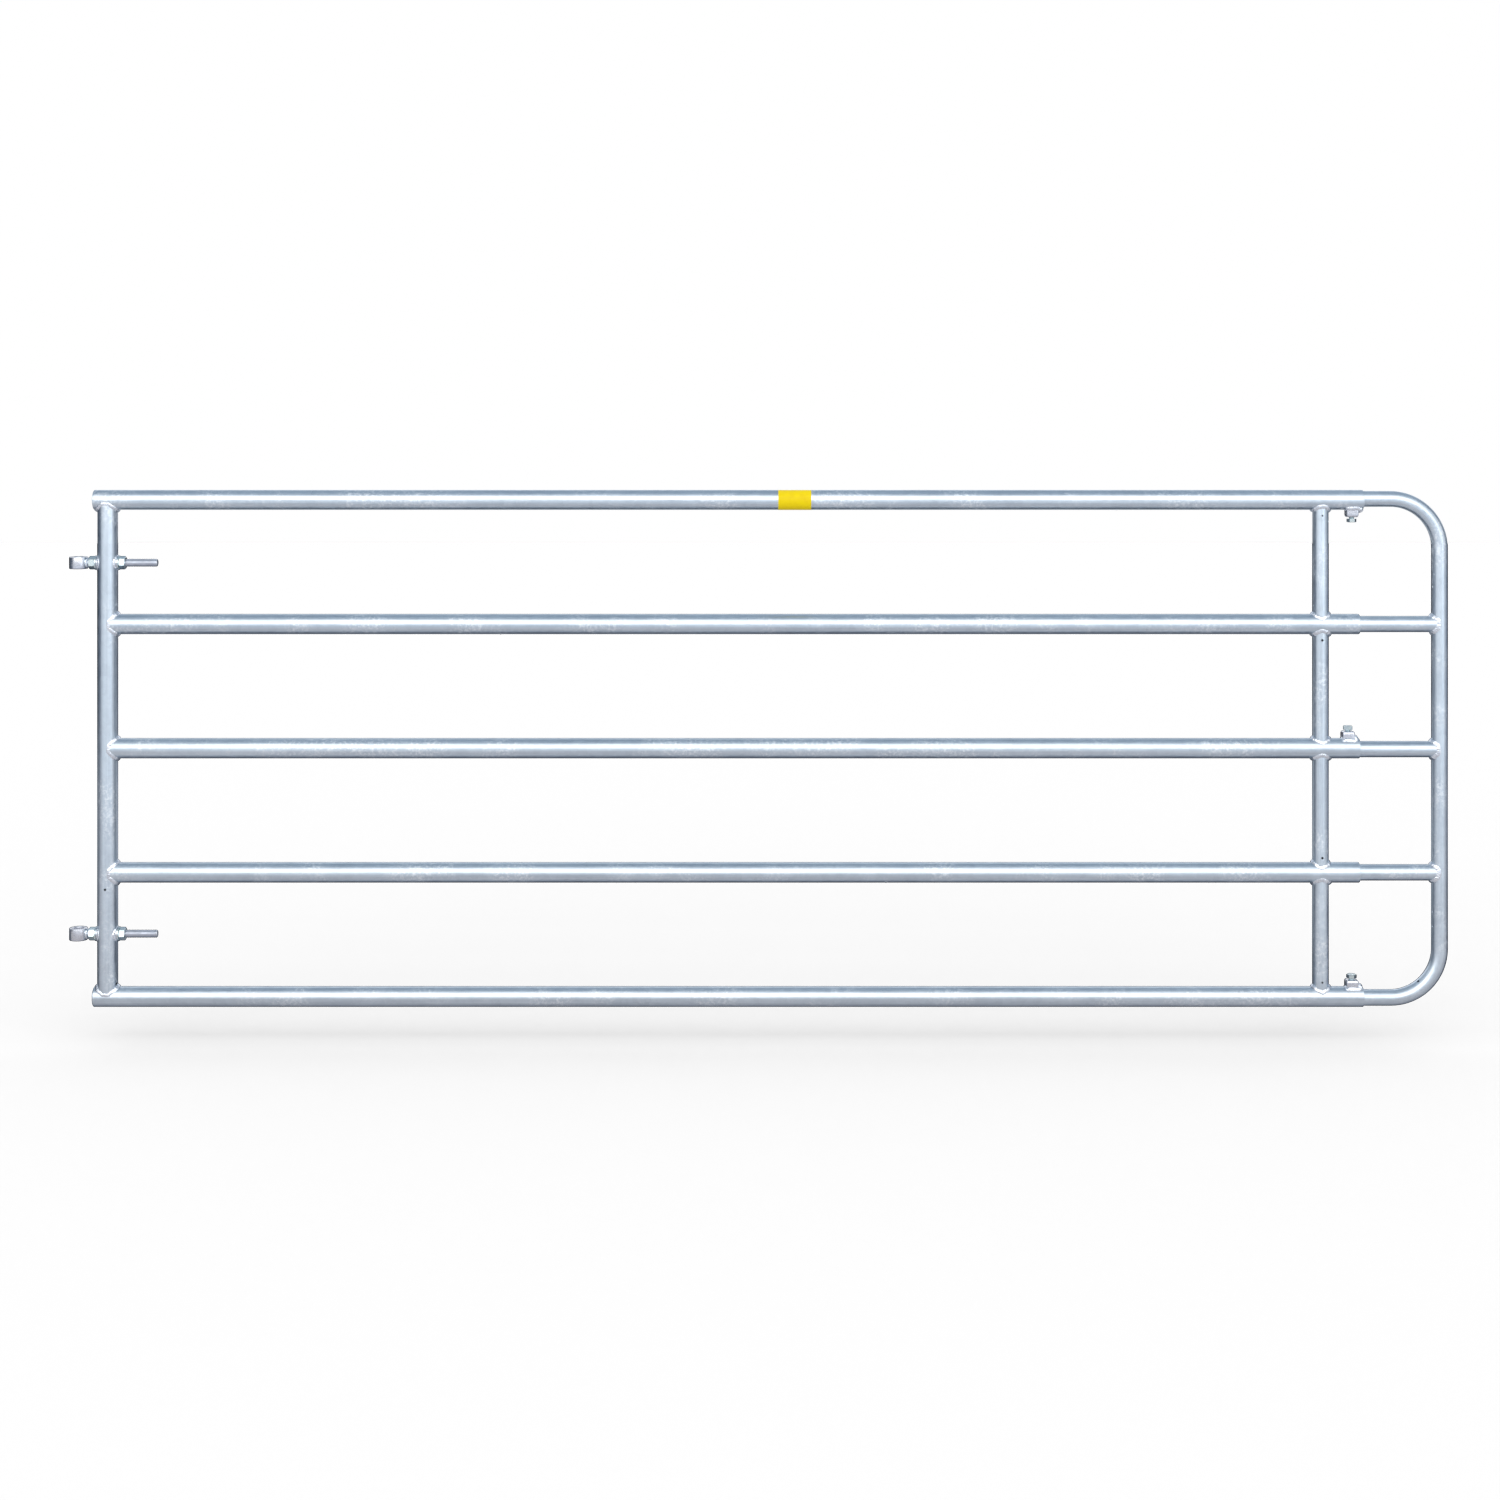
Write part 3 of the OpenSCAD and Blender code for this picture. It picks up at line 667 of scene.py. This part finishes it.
braceWeld = dict(up=(0.0050, 0.0040, 0.0052, 0.0022), down=(0.0060, 0.0046, 0.0056))  # see saddleLegs
bm = bmesh.new()
for i in range(len(braceNames)):
    for way, z in (("up", railZ[i]), ("down", railZ[i + 1])):
        legs = saddleLegs(*braceWeld[way])
        bead = layBead(roundPath(tube["braceR"]), legs, tube["railR"], seed=z * 7 + i * 2.3)
        joinInto(bm, bead, standing(braceX, z, way))
finishWeld("brace-weld-beads", bm, "frame", "brace_welds")

# bushes of the eyebolts, through the hinge post
bush = dict(outR=0.01345, holeR=0.0085, face=tube["railR"] + 0.0015, edge=0.0005, leg=0.0032, lift=0.003,
            beadBack=0.0003, beadSteps=200, beadCrown=0.0009)
bm = bmesh.new()
for side, z in hinges:
    for way in ("left", "right"):
        bead = layBead(roundPath(bush["outR"]), evenLegs(bush["leg"], bush["lift"]), tube["railR"],
                       end=bush["face"] - bush["beadBack"], seed=z * 5 + len(way), steps=bush["beadSteps"],
                       crown=bush["beadCrown"])
        joinInto(bm, bead, standing(postX, z, way))
finishWeld("bush-weld-beads", bm, "frame", "bush_welds")

slideWeld = dict(leg=0.0062, lift=0.0058)
bm = bmesh.new()
for i, z in enumerate(slideZ):
    legs = evenLegs(slideWeld["leg"], slideWeld["lift"])
    bead = layBead(roundPath(tube["slideR"]), legs, tube["slideR"], seed=11 + i * 3.7)
    joinInto(bm, bead, standing(bowX, z, "left"))
finishWeld("slide-weld-beads", bm, "extension", "extension_welds")

eye = dict(outR=0.019, boreR=0.011, height=0.025, edge=0.0012, around=80, rodR=0.008, leg=0.0032,
           beadSteps=132, beadCrown=0.0008)
for side, z in hinges:
    bead = layBead(roundPath(eye["rodR"]), evenLegs(eye["leg"], eye["leg"]), eye["outR"], seed=z * 3 + 1,
                   steps=eye["beadSteps"], crown=eye["beadCrown"])
    putAt(bead, standing(0, z, "right"))
    finishWeld(side + "-eye-weld-bead", bead, side + "_eyebolt", side + "_eye_weld")
print("welds laid")


# round parts: a wall section with rounded corners, spun about Z
def spinRing(innerR, outerR, z0, z1, edge, steps=64):
    bm = bmesh.new()
    corners = [bm.verts.new((x, 0, z)) for x, z in ((innerR, z0), (outerR, z0), (outerR, z1), (innerR, z1))]
    bm.faces.new(corners)
    bmesh.ops.bevel(bm, geom=corners, offset=edge, segments=3, profile=0.5, affect="VERTICES", material=-1)
    bmesh.ops.delete(bm, geom=bm.faces[:], context="FACES_ONLY")
    bmesh.ops.spin(bm, geom=bm.edges[:], cent=(0, 0, 0), axis=(0, 0, 1), angle=fullTurn, steps=steps,
                   use_merge=True)
    bmesh.ops.remove_doubles(bm, verts=bm.verts[:], dist=1e-6)
    return bm


washer = dict(outR=0.015, holeR=0.0085, thick=0.003, edge=0.0005)
for side, z in hinges:
    half = eye["height"] / 2
    ring = spinRing(eye["boreR"], eye["outR"], -half, half, eye["edge"], eye["around"])
    bmesh.ops.translate(ring, vec=(0, 0, z), verts=ring.verts[:])
    finishPiece(side + "-rolled-eye", ring, "galvanised_block", side + "_eyebolt", side + "_eye")
    sleeve = spinRing(bush["holeR"], bush["outR"], -bush["face"], bush["face"], bush["edge"])
    putAt(sleeve, standing(postX, z, "right"))
    finishPiece(side + "-bush-sleeve", sleeve, "galvanised_block", "frame", side + "_hinge_bush")
    for end, sign, way in hingeEnds:
        disc = spinRing(washer["holeR"], washer["outR"], 0, washer["thick"], washer["edge"])
        putAt(disc, standing(postX + sign * bush["face"], z, way))
        finishPiece(f"{side}-{end}-washer-disc", disc, "zinc_fastener", "frame", f"{side}_{end}_washer")


# hexagon along Z: a ring pulled out to the flats and up, its corners turned down at the ends
def hexBody(flats, height, bore, faceShare, both):
    bm = bmesh.new()
    faceR = faceShare * flats / 2
    fall = math.tan(math.radians(30))
    # radius, or none for the flats; height; which way the corners fall
    rows = [(faceR, 0, 0), (None, 0, 1)] if both else [(None, 0, 0)]
    rows += [(None, height, -1), (faceR, height, 0), (bore, height, 0)]
    if both:
        rows.append((bore, 0, 0))
    bmesh.ops.create_circle(bm, segments=72, radius=bore)
    first = ring = bm.edges[:]
    for radius, z, way in rows:
        made = bmesh.ops.extrude_edge_only(bm, edges=ring)["geom"]
        ring = [e for e in edgesIn(made) if e.is_boundary]
        for v in vertsIn(made):
            turn = math.atan2(v.co.y, v.co.x)
            reach = radius or flats / 2 / math.cos(turn % (math.pi / 3) - math.pi / 6)
            drop = max(0.0, reach - faceR) * fall
            v.co = Vector((math.cos(turn) * reach, math.sin(turn) * reach, z + way * drop))
    if both:
        bmesh.ops.remove_doubles(bm, verts=bm.verts[:], dist=1e-6)
    else:
        bmesh.ops.holes_fill(bm, edges=first + ring, sides=0)
    return bm


# screw thread along Z: one pitch of its flank, spun and moved up at once
threadFlank = ((0, 0), (0, 0.12), (1, 0.45), (1, 0.57), (0, 0.9), (0, 1))  # root or crest, share of the pitch


def spinThread(radius, pitch, depth, z0, z1, chamfer, steps=26):
    bm = bmesh.new()
    line = [bm.verts.new((radius - depth * (1 - crest), 0, z0 - 2 * pitch + share * pitch))
            for crest, share in threadFlank]
    edges = [bm.edges.new(pair) for pair in zip(line, line[1:])]
    bmesh.ops.spin(bm, geom=edges, cent=(0, 0, 0), axis=(0, 0, 1), dvec=(0, 0, pitch / steps), angle=fullTurn,
                   steps=steps)
    turns = 1
    while turns * pitch < z1 - z0 + 4 * pitch:  # double the screw until it is long enough
        more = bmesh.ops.duplicate(bm, geom=bm.verts[:] + bm.edges[:] + bm.faces[:])["geom"]
        bmesh.ops.translate(bm, vec=(0, 0, turns * pitch), verts=vertsIn(more))
        turns *= 2
    bmesh.ops.remove_doubles(bm, verts=bm.verts[:], dist=2e-5)
    for z, way in ((z0, -1), (z1, 1)):
        cutAcross(bm, (0, 0, z), (0, 0, way), clear=True)
    bmesh.ops.holes_fill(bm, edges=[e for e in bm.edges if e.is_boundary], sides=0)
    for v in bm.verts:
        most = radius - max(0.0, chamfer - min(v.co.z - z0, z1 - v.co.z))
        reach = math.hypot(v.co.x, v.co.y)
        if reach > most:
            v.co.x *= most / reach
            v.co.y *= most / reach
    bmesh.ops.dissolve_degenerate(bm, dist=1e-6, edges=bm.edges[:])
    return bm


nut = dict(flats=0.024, height=0.013, seat=0.02575, bore=0.00805, faceShare=0.95)
nutTurns = {("lower", "outer"): 15.0, ("lower", "inner"): 13.0,
            ("upper", "outer"): 2.0, ("upper", "inner"): 9.0}
rod = dict(pitch=0.002, depth=0.0009, start=0.0174, chamfer=0.0015)
for side, z in hinges:
    for end, sign, way in hingeEnds:
        body = hexBody(nut["flats"], nut["height"], nut["bore"], nut["faceShare"], True)
        turn = turned(-nutTurns[side, end], "X", 4) @ turned(sign * 90, "Y", 4)
        putAt(body, Matrix.Translation((postX + sign * nut["seat"], 0, z)) @ turn)
        node = f"{side}_{end}_nut"
        finishPiece(f"{side}-{end}-hex-nut", body, "zinc_fastener", node, node, crease=hexCrease)
    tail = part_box(side + "_eye_rod")[1].x
    screw = spinThread(eye["rodR"], rod["pitch"], rod["depth"], rod["start"], tail, rod["chamfer"])
    putAt(screw, standing(0, z, "right"))
    finishPiece(side + "-threaded-rod", screw, "threaded_rod", side + "_eyebolt", side + "_eye_rod")
print("hinges made")

# clamps: tapped block, its weld and a hex bolt, made upright on a rail's axis and turned to their place
clamp = dict(width=0.025, top=0.0365, edge=0.0020, square=0.2, sideSquare=9, foot=0.001,
             saddleCuts=8, saddleStep=0.00135, crownCuts=5, crownStep=0.001, crownDepth=0.0064,
             crownIn=0.0017, boreGap=0.00005, boreRun=0.06, beadSteps=320, beadCrown=0.0012)
clampLegs = dict(leg=0.0048, legRight=0.0042, legLeft=0.0028, lift=0.0052, liftRight=0.0020, liftLeft=0.0030,
                 bulgeRight=1.3, bulgeLeft=0.5)
clampBolt = dict(radius=0.006, pitch=0.00175, depth=0.0009, tip=0.0151, chamfer=0.001, sunk=0.0002,
                 headZ=0.0401, headH=0.0075, flats=0.018, faceShare=0.93, core=0.004)
clampTurns = {"top": 4.0, "middle": 20.0, "bottom": -13.0}


def blockPath(turn):
    c, s = math.cos(turn), math.sin(turn)
    half = clamp["width"] / 2
    x, y = (math.copysign(abs(t) ** clamp["square"], t) * half for t in (c, s))
    sideX, sideY = (math.copysign(abs(t / half) ** clamp["sideSquare"], t) for t in (x, y))
    return Vector((x, y, 0)), Vector((sideX, sideY, 0)).normalized()


def blockLegs(turn):  # heaped at the right, thin at the left
    right, left = max(0.0, math.cos(turn)) ** 4, max(0.0, -math.cos(turn)) ** 2
    return (clampLegs["leg"] + clampLegs["legRight"] * right - clampLegs["legLeft"] * left,
            clampLegs["lift"] + clampLegs["liftRight"] * right - clampLegs["liftLeft"] * left,
            1 + clampLegs["bulgeRight"] * right - clampLegs["bulgeLeft"] * left)


def tappedBlock():  # rounded, crowned at its top and saddled to the rail
    bm = bmesh.new()
    bmesh.ops.create_cube(bm, size=1.0)
    bmesh.ops.scale(bm, vec=(clamp["width"], clamp["width"], clamp["top"]), verts=bm.verts[:])
    bmesh.ops.translate(bm, vec=(0, 0, clamp["top"] / 2), verts=bm.verts[:])
    uprights = [e for e in bm.edges if abs(e.verts[0].co.z - e.verts[1].co.z) > clamp["top"] / 2]
    rim = [e for e in bm.edges if all(v.co.z > clamp["top"] - 1e-6 for v in e.verts)]
    bmesh.ops.bevel(bm, geom=uprights + rim, offset=clamp["edge"], segments=4, profile=0.5, affect="EDGES",
                    material=-1)
    for k in range(-clamp["saddleCuts"], clamp["saddleCuts"] + 1):
        cutAcross(bm, (0, k * clamp["saddleStep"], 0), (0, 1, 0))
    crownZ = clamp["top"] - clamp["crownDepth"]
    for k in range(clamp["crownCuts"]):
        cutAcross(bm, (0, 0, crownZ + k * clamp["crownStep"]), (0, 0, 1))
    for v in bm.verts:
        lean = max(0.0, (v.co.z - crownZ) / clamp["crownDepth"]) ** 2 * clamp["crownIn"] / clamp["width"] * 2
        v.co.x *= 1 - lean
        v.co.y *= 1 - lean
        if v.co.z < clamp["foot"]:
            v.co.z = math.sqrt(max(0.0, (tube["railR"] + tube["gap"]) ** 2 - v.co.y ** 2))
    return drill(bm, [(Vector((0, 0, 0)), upZ, clampBolt["radius"] + clamp["boreGap"], clamp["boreRun"])])


weldBed = bmesh.new()
for name in ("top", "middle", "bottom"):
    node = "clamp_block_" + name
    seatZ = middle(name + "_rail").z
    place = standing(middle(node).x, seatZ, "down" if name == "top" else "up")
    block = tappedBlock()
    putAt(block, place)
    finishPiece(f"clamp-{name}-tapped-block", block, "galvanised_block", "frame", node)
    bead = layBead(blockPath, blockLegs, tube["railR"], seed=seatZ * 4 + 2, steps=clamp["beadSteps"],
                   crown=clamp["beadCrown"])
    joinInto(weldBed, bead, place)
    bolt = spinThread(clampBolt["radius"], clampBolt["pitch"], clampBolt["depth"], clampBolt["tip"],
                      clampBolt["headZ"] + clampBolt["sunk"], clampBolt["chamfer"])
    head = hexBody(clampBolt["flats"], clampBolt["headH"], clampBolt["core"], clampBolt["faceShare"], False)
    joinInto(bolt, head, Matrix.Translation((0, 0, clampBolt["headZ"])) @ turned(clampTurns[name], "Z", 4))
    putAt(bolt, place)
    node = f"clamp_bolt_{name}"
    finishPiece(f"clamp-{name}-hex-bolt", bolt, "zinc_fastener", node, node, crease=hexCrease)
finishWeld("clamp-weld-beads", weldBed, "frame", "clamp_block_welds")
print("clamps made")

# small runs and nibs of zinc left on the tubes: place on the axis, outward side, length, width, height, tube
nibs = dict(frame=[((postX, 0, 0.700), (0.93, -0.37, 0), 0.0034, 0.0022, 0.0013, "railR"),
                   ((postX, 0, -0.072), (-0.80, -0.60, 0), 0.0028, 0.0020, 0.0010, "railR"),
                   ((braceX, 0, 0.878), (0.90, -0.44, 0), 0.0030, 0.0020, 0.0012, "braceR"),
                   ((braceX, 0, 0.766), (-0.86, -0.51, 0), 0.0024, 0.0018, 0.0009, "braceR"),
                   ((braceX, 0, 0.700), (-0.95, -0.31, 0), 0.0030, 0.0018, 0.0010, "braceR"),
                   ((0.900, 0, railZ[3]), (0, -0.30, -0.95), 0.0060, 0.0024, 0.0012, "railR"),
                   ((1.720, 0, railZ[1]), (0, -0.42, -0.91), 0.0070, 0.0022, 0.0012, "railR"),
                   ((2.210, 0, railZ[4]), (0, -0.25, -0.97), 0.0050, 0.0026, 0.0014, "railR")],
            extension=[((bowX, 0, 0.766), (-0.86, -0.51, 0), 0.0036, 0.0026, 0.0014, "slideR"),
                       ((bowX, 0, 0.739), (-0.95, -0.31, 0), 0.0044, 0.0024, 0.0013, "slideR"),
                       ((bowX, 0, 0.047), (-0.98, -0.20, 0), 0.0030, 0.0022, 0.0015, "slideR"),
                       ((bowX, 0, 0.016), (-0.98, -0.22, 0), 0.0034, 0.0024, 0.0014, "slideR")])
nibShape = dict(taper=0.35, sunk=0.0002)
for body, rows in nibs.items():
    bm = bmesh.new()
    for at, side, length, width, height, kind in rows:
        out = Vector(side).normalized()
        along = alongX if abs(out.z) > 0.5 else upZ
        nib = bmesh.new()
        bmesh.ops.create_icosphere(nib, subdivisions=3, radius=1.0)
        for v in nib.verts:  # one end drawn out into a tail
            v.co.x *= 1 - nibShape["taper"] * v.co.z
            v.co.y *= 1 - nibShape["taper"] * v.co.z
        bmesh.ops.scale(nib, vec=(width / 2, height, length / 2), verts=nib.verts[:])
        turn = Matrix((out.cross(along), out, along)).transposed().to_4x4()
        joinInto(bm, nib, Matrix.Translation(Vector(at) + out * (tube[kind] - nibShape["sunk"])) @ turn)
    finishPiece(body + "-zinc-nibs", bm, "galvanised_weld", body, crease=weldCrease)
print("nibs set")

# the label: a thin film wrapped round the top rail, its corners rounded
label = dict(thick=0.00022, topAngle=78.0, wrap=0.080, width=0.070, corner=0.0025, lift=0.00006,
             across=36, down=44, swell=0.00005, swellScale=60)
labelX = middle("label").x
bm = bmesh.new()
bmesh.ops.create_grid(bm, x_segments=label["across"], y_segments=label["down"], size=0.5)
for v in bm.verts:
    x, y = v.co.x * label["width"], v.co.y * label["wrap"]
    overX = abs(x) - (label["width"] / 2 - label["corner"])
    overY = abs(y) - (label["wrap"] / 2 - label["corner"])
    if overX > 0 and overY > 0:  # pull the corner in to its round
        reach = math.hypot(overX, overY)
        if reach > label["corner"]:
            x -= math.copysign(overX * (1 - label["corner"] / reach), x)
            y -= math.copysign(overY * (1 - label["corner"] / reach), y)
    spot = Vector((x * label["swellScale"], y * label["swellScale"], 2.0))
    swell = label["swell"] * (1 + noise.noise(spot))
    angle = math.radians(label["topAngle"]) - (label["wrap"] / 2 - y) / tube["railR"]
    reach = tube["railR"] + label["lift"] + swell
    v.co = Vector((labelX + x, -math.cos(angle) * reach, railZ[4] + math.sin(angle) * reach))
bmesh.ops.recalc_face_normals(bm, faces=bm.faces[:])
bmesh.ops.solidify(bm, geom=bm.faces[:], thickness=-label["thick"])
finishPiece("rail-label", bm, "label_film", "frame", "label")
print("label laid")

for row in frame["record"]["subparts"]:  # the nodes underneath carry their slot's finish too
    finishes = frame["nodes"][row["node"]].data.materials
    finishes.clear()
    finishes.append(slotLooks[row["material_slot"]])

# studio: pale floor, white surround, one soft box in front, and cards that the zinc mirrors
studio = dict(aim=(1.43, 0, 0.39), fill=0.85, fillTint=(0.93, 0.96, 1.0), paper=(1.0, 1.0, 1.0),
              floorZ=cadLow.z - 0.09, floorX=1.4, floorHalf=20.0, nearTone=(0.64, 0.605, 0.60),
              farTone=(0.70, 0.725, 0.765), toneRange=(-3.2, -0.4),  # along Y, from near to far
              boxAt=(1.43, -6.0, 3.5), boxSize=(13.0, 4.8), boxWatts=300.0)
bm = bmesh.new()
bmesh.ops.create_grid(bm, x_segments=1, y_segments=1, size=studio["floorHalf"])
bmesh.ops.translate(bm, vec=(studio["floorX"], 0, studio["floorZ"]), verts=bm.verts[:])
floor = objectFrom("floor", bm)
floor.is_shadow_catcher = True
floorMaterial, tree, shader, place = startMaterial("floor_paper")
depth = tree.nodes.new("ShaderNodeSeparateXYZ")
wire(tree, place, depth.inputs[0])
nearness = ranged(tree, depth.outputs["Y"], *studio["toneRange"], 1.0, 0.0)
wire(tree, blendOf(tree, nearness, studio["nearTone"], studio["farTone"]), shader.inputs["Base Color"])
shader.inputs["Roughness"].default_value = 0.9
shader.inputs["Specular IOR Level"].default_value = 0.0
floor.data.materials.append(floorMaterial)
floor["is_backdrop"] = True

scene = bpy.context.scene
world = bpy.data.worlds.new("studio")
scene.world = world
world.use_nodes = True
tree = world.node_tree
fill = tree.nodes["Background"]
fill.inputs["Color"].default_value = (*studio["fillTint"], 1.0)
fill.inputs["Strength"].default_value = studio["fill"]
paper = addNode(tree, "ShaderNodeBackground", Color=(*studio["paper"], 1.0), Strength=1.0)
rays = tree.nodes.new("ShaderNodeLightPath")
mirrored = mathOf(tree, "MAXIMUM", rays.outputs["Is Glossy Ray"], rays.outputs["Is Transmission Ray"])
choose = tree.nodes.new("ShaderNodeMixShader")
wire(tree, mathOf(tree, "MAXIMUM", rays.outputs["Is Camera Ray"], mirrored), choose.inputs[0])
wire(tree, fill.outputs[0], choose.inputs[1])
wire(tree, paper.outputs[0], choose.inputs[2])
wire(tree, choose.outputs[0], tree.nodes["World Output"].inputs["Surface"])

boxData = bpy.data.lights.new("front_box", "AREA")
boxData.shape = "RECTANGLE"
boxData.size, boxData.size_y = studio["boxSize"]
boxData.energy = studio["boxWatts"]
frontBox = bpy.data.objects.new("front_box", boxData)
frontBox.location = studio["boxAt"]
frontBox.rotation_euler = (Vector(studio["aim"]) - frontBox.location).to_track_quat("-Z", "Y").to_euler()
bpy.context.collection.objects.link(frontBox)


# a card that only gloss sees, from its low to its high corner
def hangCard(name, low, high, tone):
    low, high = Vector(low), Vector(high)
    bm = bmesh.new()
    bmesh.ops.create_cube(bm, size=1.0)
    bmesh.ops.scale(bm, vec=high - low, verts=bm.verts[:])
    bmesh.ops.translate(bm, vec=(low + high) / 2, verts=bm.verts[:])
    card = objectFrom(name, bm)
    material = bpy.data.materials.new(name)
    material.use_nodes = True
    tree = material.node_tree
    glow = addNode(tree, "ShaderNodeEmission", Color=(*tone, 1.0), Strength=1.0)
    wire(tree, glow.outputs[0], tree.nodes["Material Output"].inputs["Surface"])
    card.data.materials.append(material)
    for ray in ("camera", "diffuse", "transmission", "shadow", "volume_scatter"):
        setattr(card, "visible_" + ray, False)
    card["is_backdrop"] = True


cards = dict(  # low corner, high corner, tone
    above=((-7.0, -1.6, 3.9), (10.0, 4.6, 3.92), (0.41, 0.49, 0.58)),
    left_near=((-3.2, -1.6, -0.2), (-3.18, 0.8, 3.9), (0.12, 0.15, 0.20)),
    left_far=((-3.2, 0.8, -0.2), (-3.18, 4.6, 1.15), (0.03, 0.04, 0.055)),
    left_high=((-3.2, 0.8, 1.15), (-3.18, 4.6, 3.9), (0.60, 0.64, 0.70)),
    right_near=((6.1, -0.5, -0.2), (6.12, 2.2, 3.9), (0.22, 0.26, 0.32)),
    right_strip=((5.6, -5.3, -0.2), (5.62, -3.2, 3.4), (2.0, 2.12, 2.25)),
    right_far=((6.1, 2.2, -0.2), (6.12, 4.6, 1.15), (0.03, 0.036, 0.05)),
    right_high=((6.1, 2.2, 1.15), (6.12, 4.6, 3.9), (0.60, 0.64, 0.70)),
    back_low=((-3.2, 4.6, -0.2), (6.1, 4.62, 0.9), (0.04, 0.046, 0.06)),
    back_high=((-3.2, 4.6, 0.9), (6.1, 4.62, 3.9), (1.15, 1.18, 1.23)),
    # painted shadow: a dark card just under the gate, seen only in the zinc, stands in for the floor's
    # contact shade beneath it
    shadow_under=((-3.2, -0.02, -0.235), (6.1, 0.12, -0.23), (0.27, 0.285, 0.31)),
    floor_near=((-3.2, 0.12, -0.235), (6.1, 0.9, -0.23), (0.10, 0.115, 0.14)),
    floor_mid=((-3.2, 0.9, -0.235), (6.1, 1.8, -0.23), (0.31, 0.34, 0.38)),
    floor_far=((-3.2, 1.8, -0.235), (6.1, 3.0, -0.23), (0.72, 0.75, 0.79)),
    floor_end=((-3.2, 3.0, -0.235), (6.1, 4.6, -0.23), (0.22, 0.25, 0.30)),
)
for name, (low, high, tone) in cards.items():
    hangCard("flag_" + name, low, high, tone)

# camera square to the gate's front
view = dict(x=1.430, away=5.0, height=1.10, lens=56.34, sensor=36.0, rowZ=0.391, frameWidth=3.195)
cameraData = bpy.data.cameras.new("photo_camera")
cameraData.lens = view["lens"]
cameraData.sensor_width = view["sensor"]
cameraData.shift_y = (view["rowZ"] - view["height"]) / view["frameWidth"]
camera = bpy.data.objects.new("photo_camera", cameraData)
camera.location = (view["x"], -view["away"], view["height"])
camera.rotation_euler = (math.pi / 2, 0, 0)
bpy.context.collection.objects.link(camera)
scene.camera = camera
scene.view_settings.view_transform = "Standard"
print("studio set")

low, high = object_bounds()
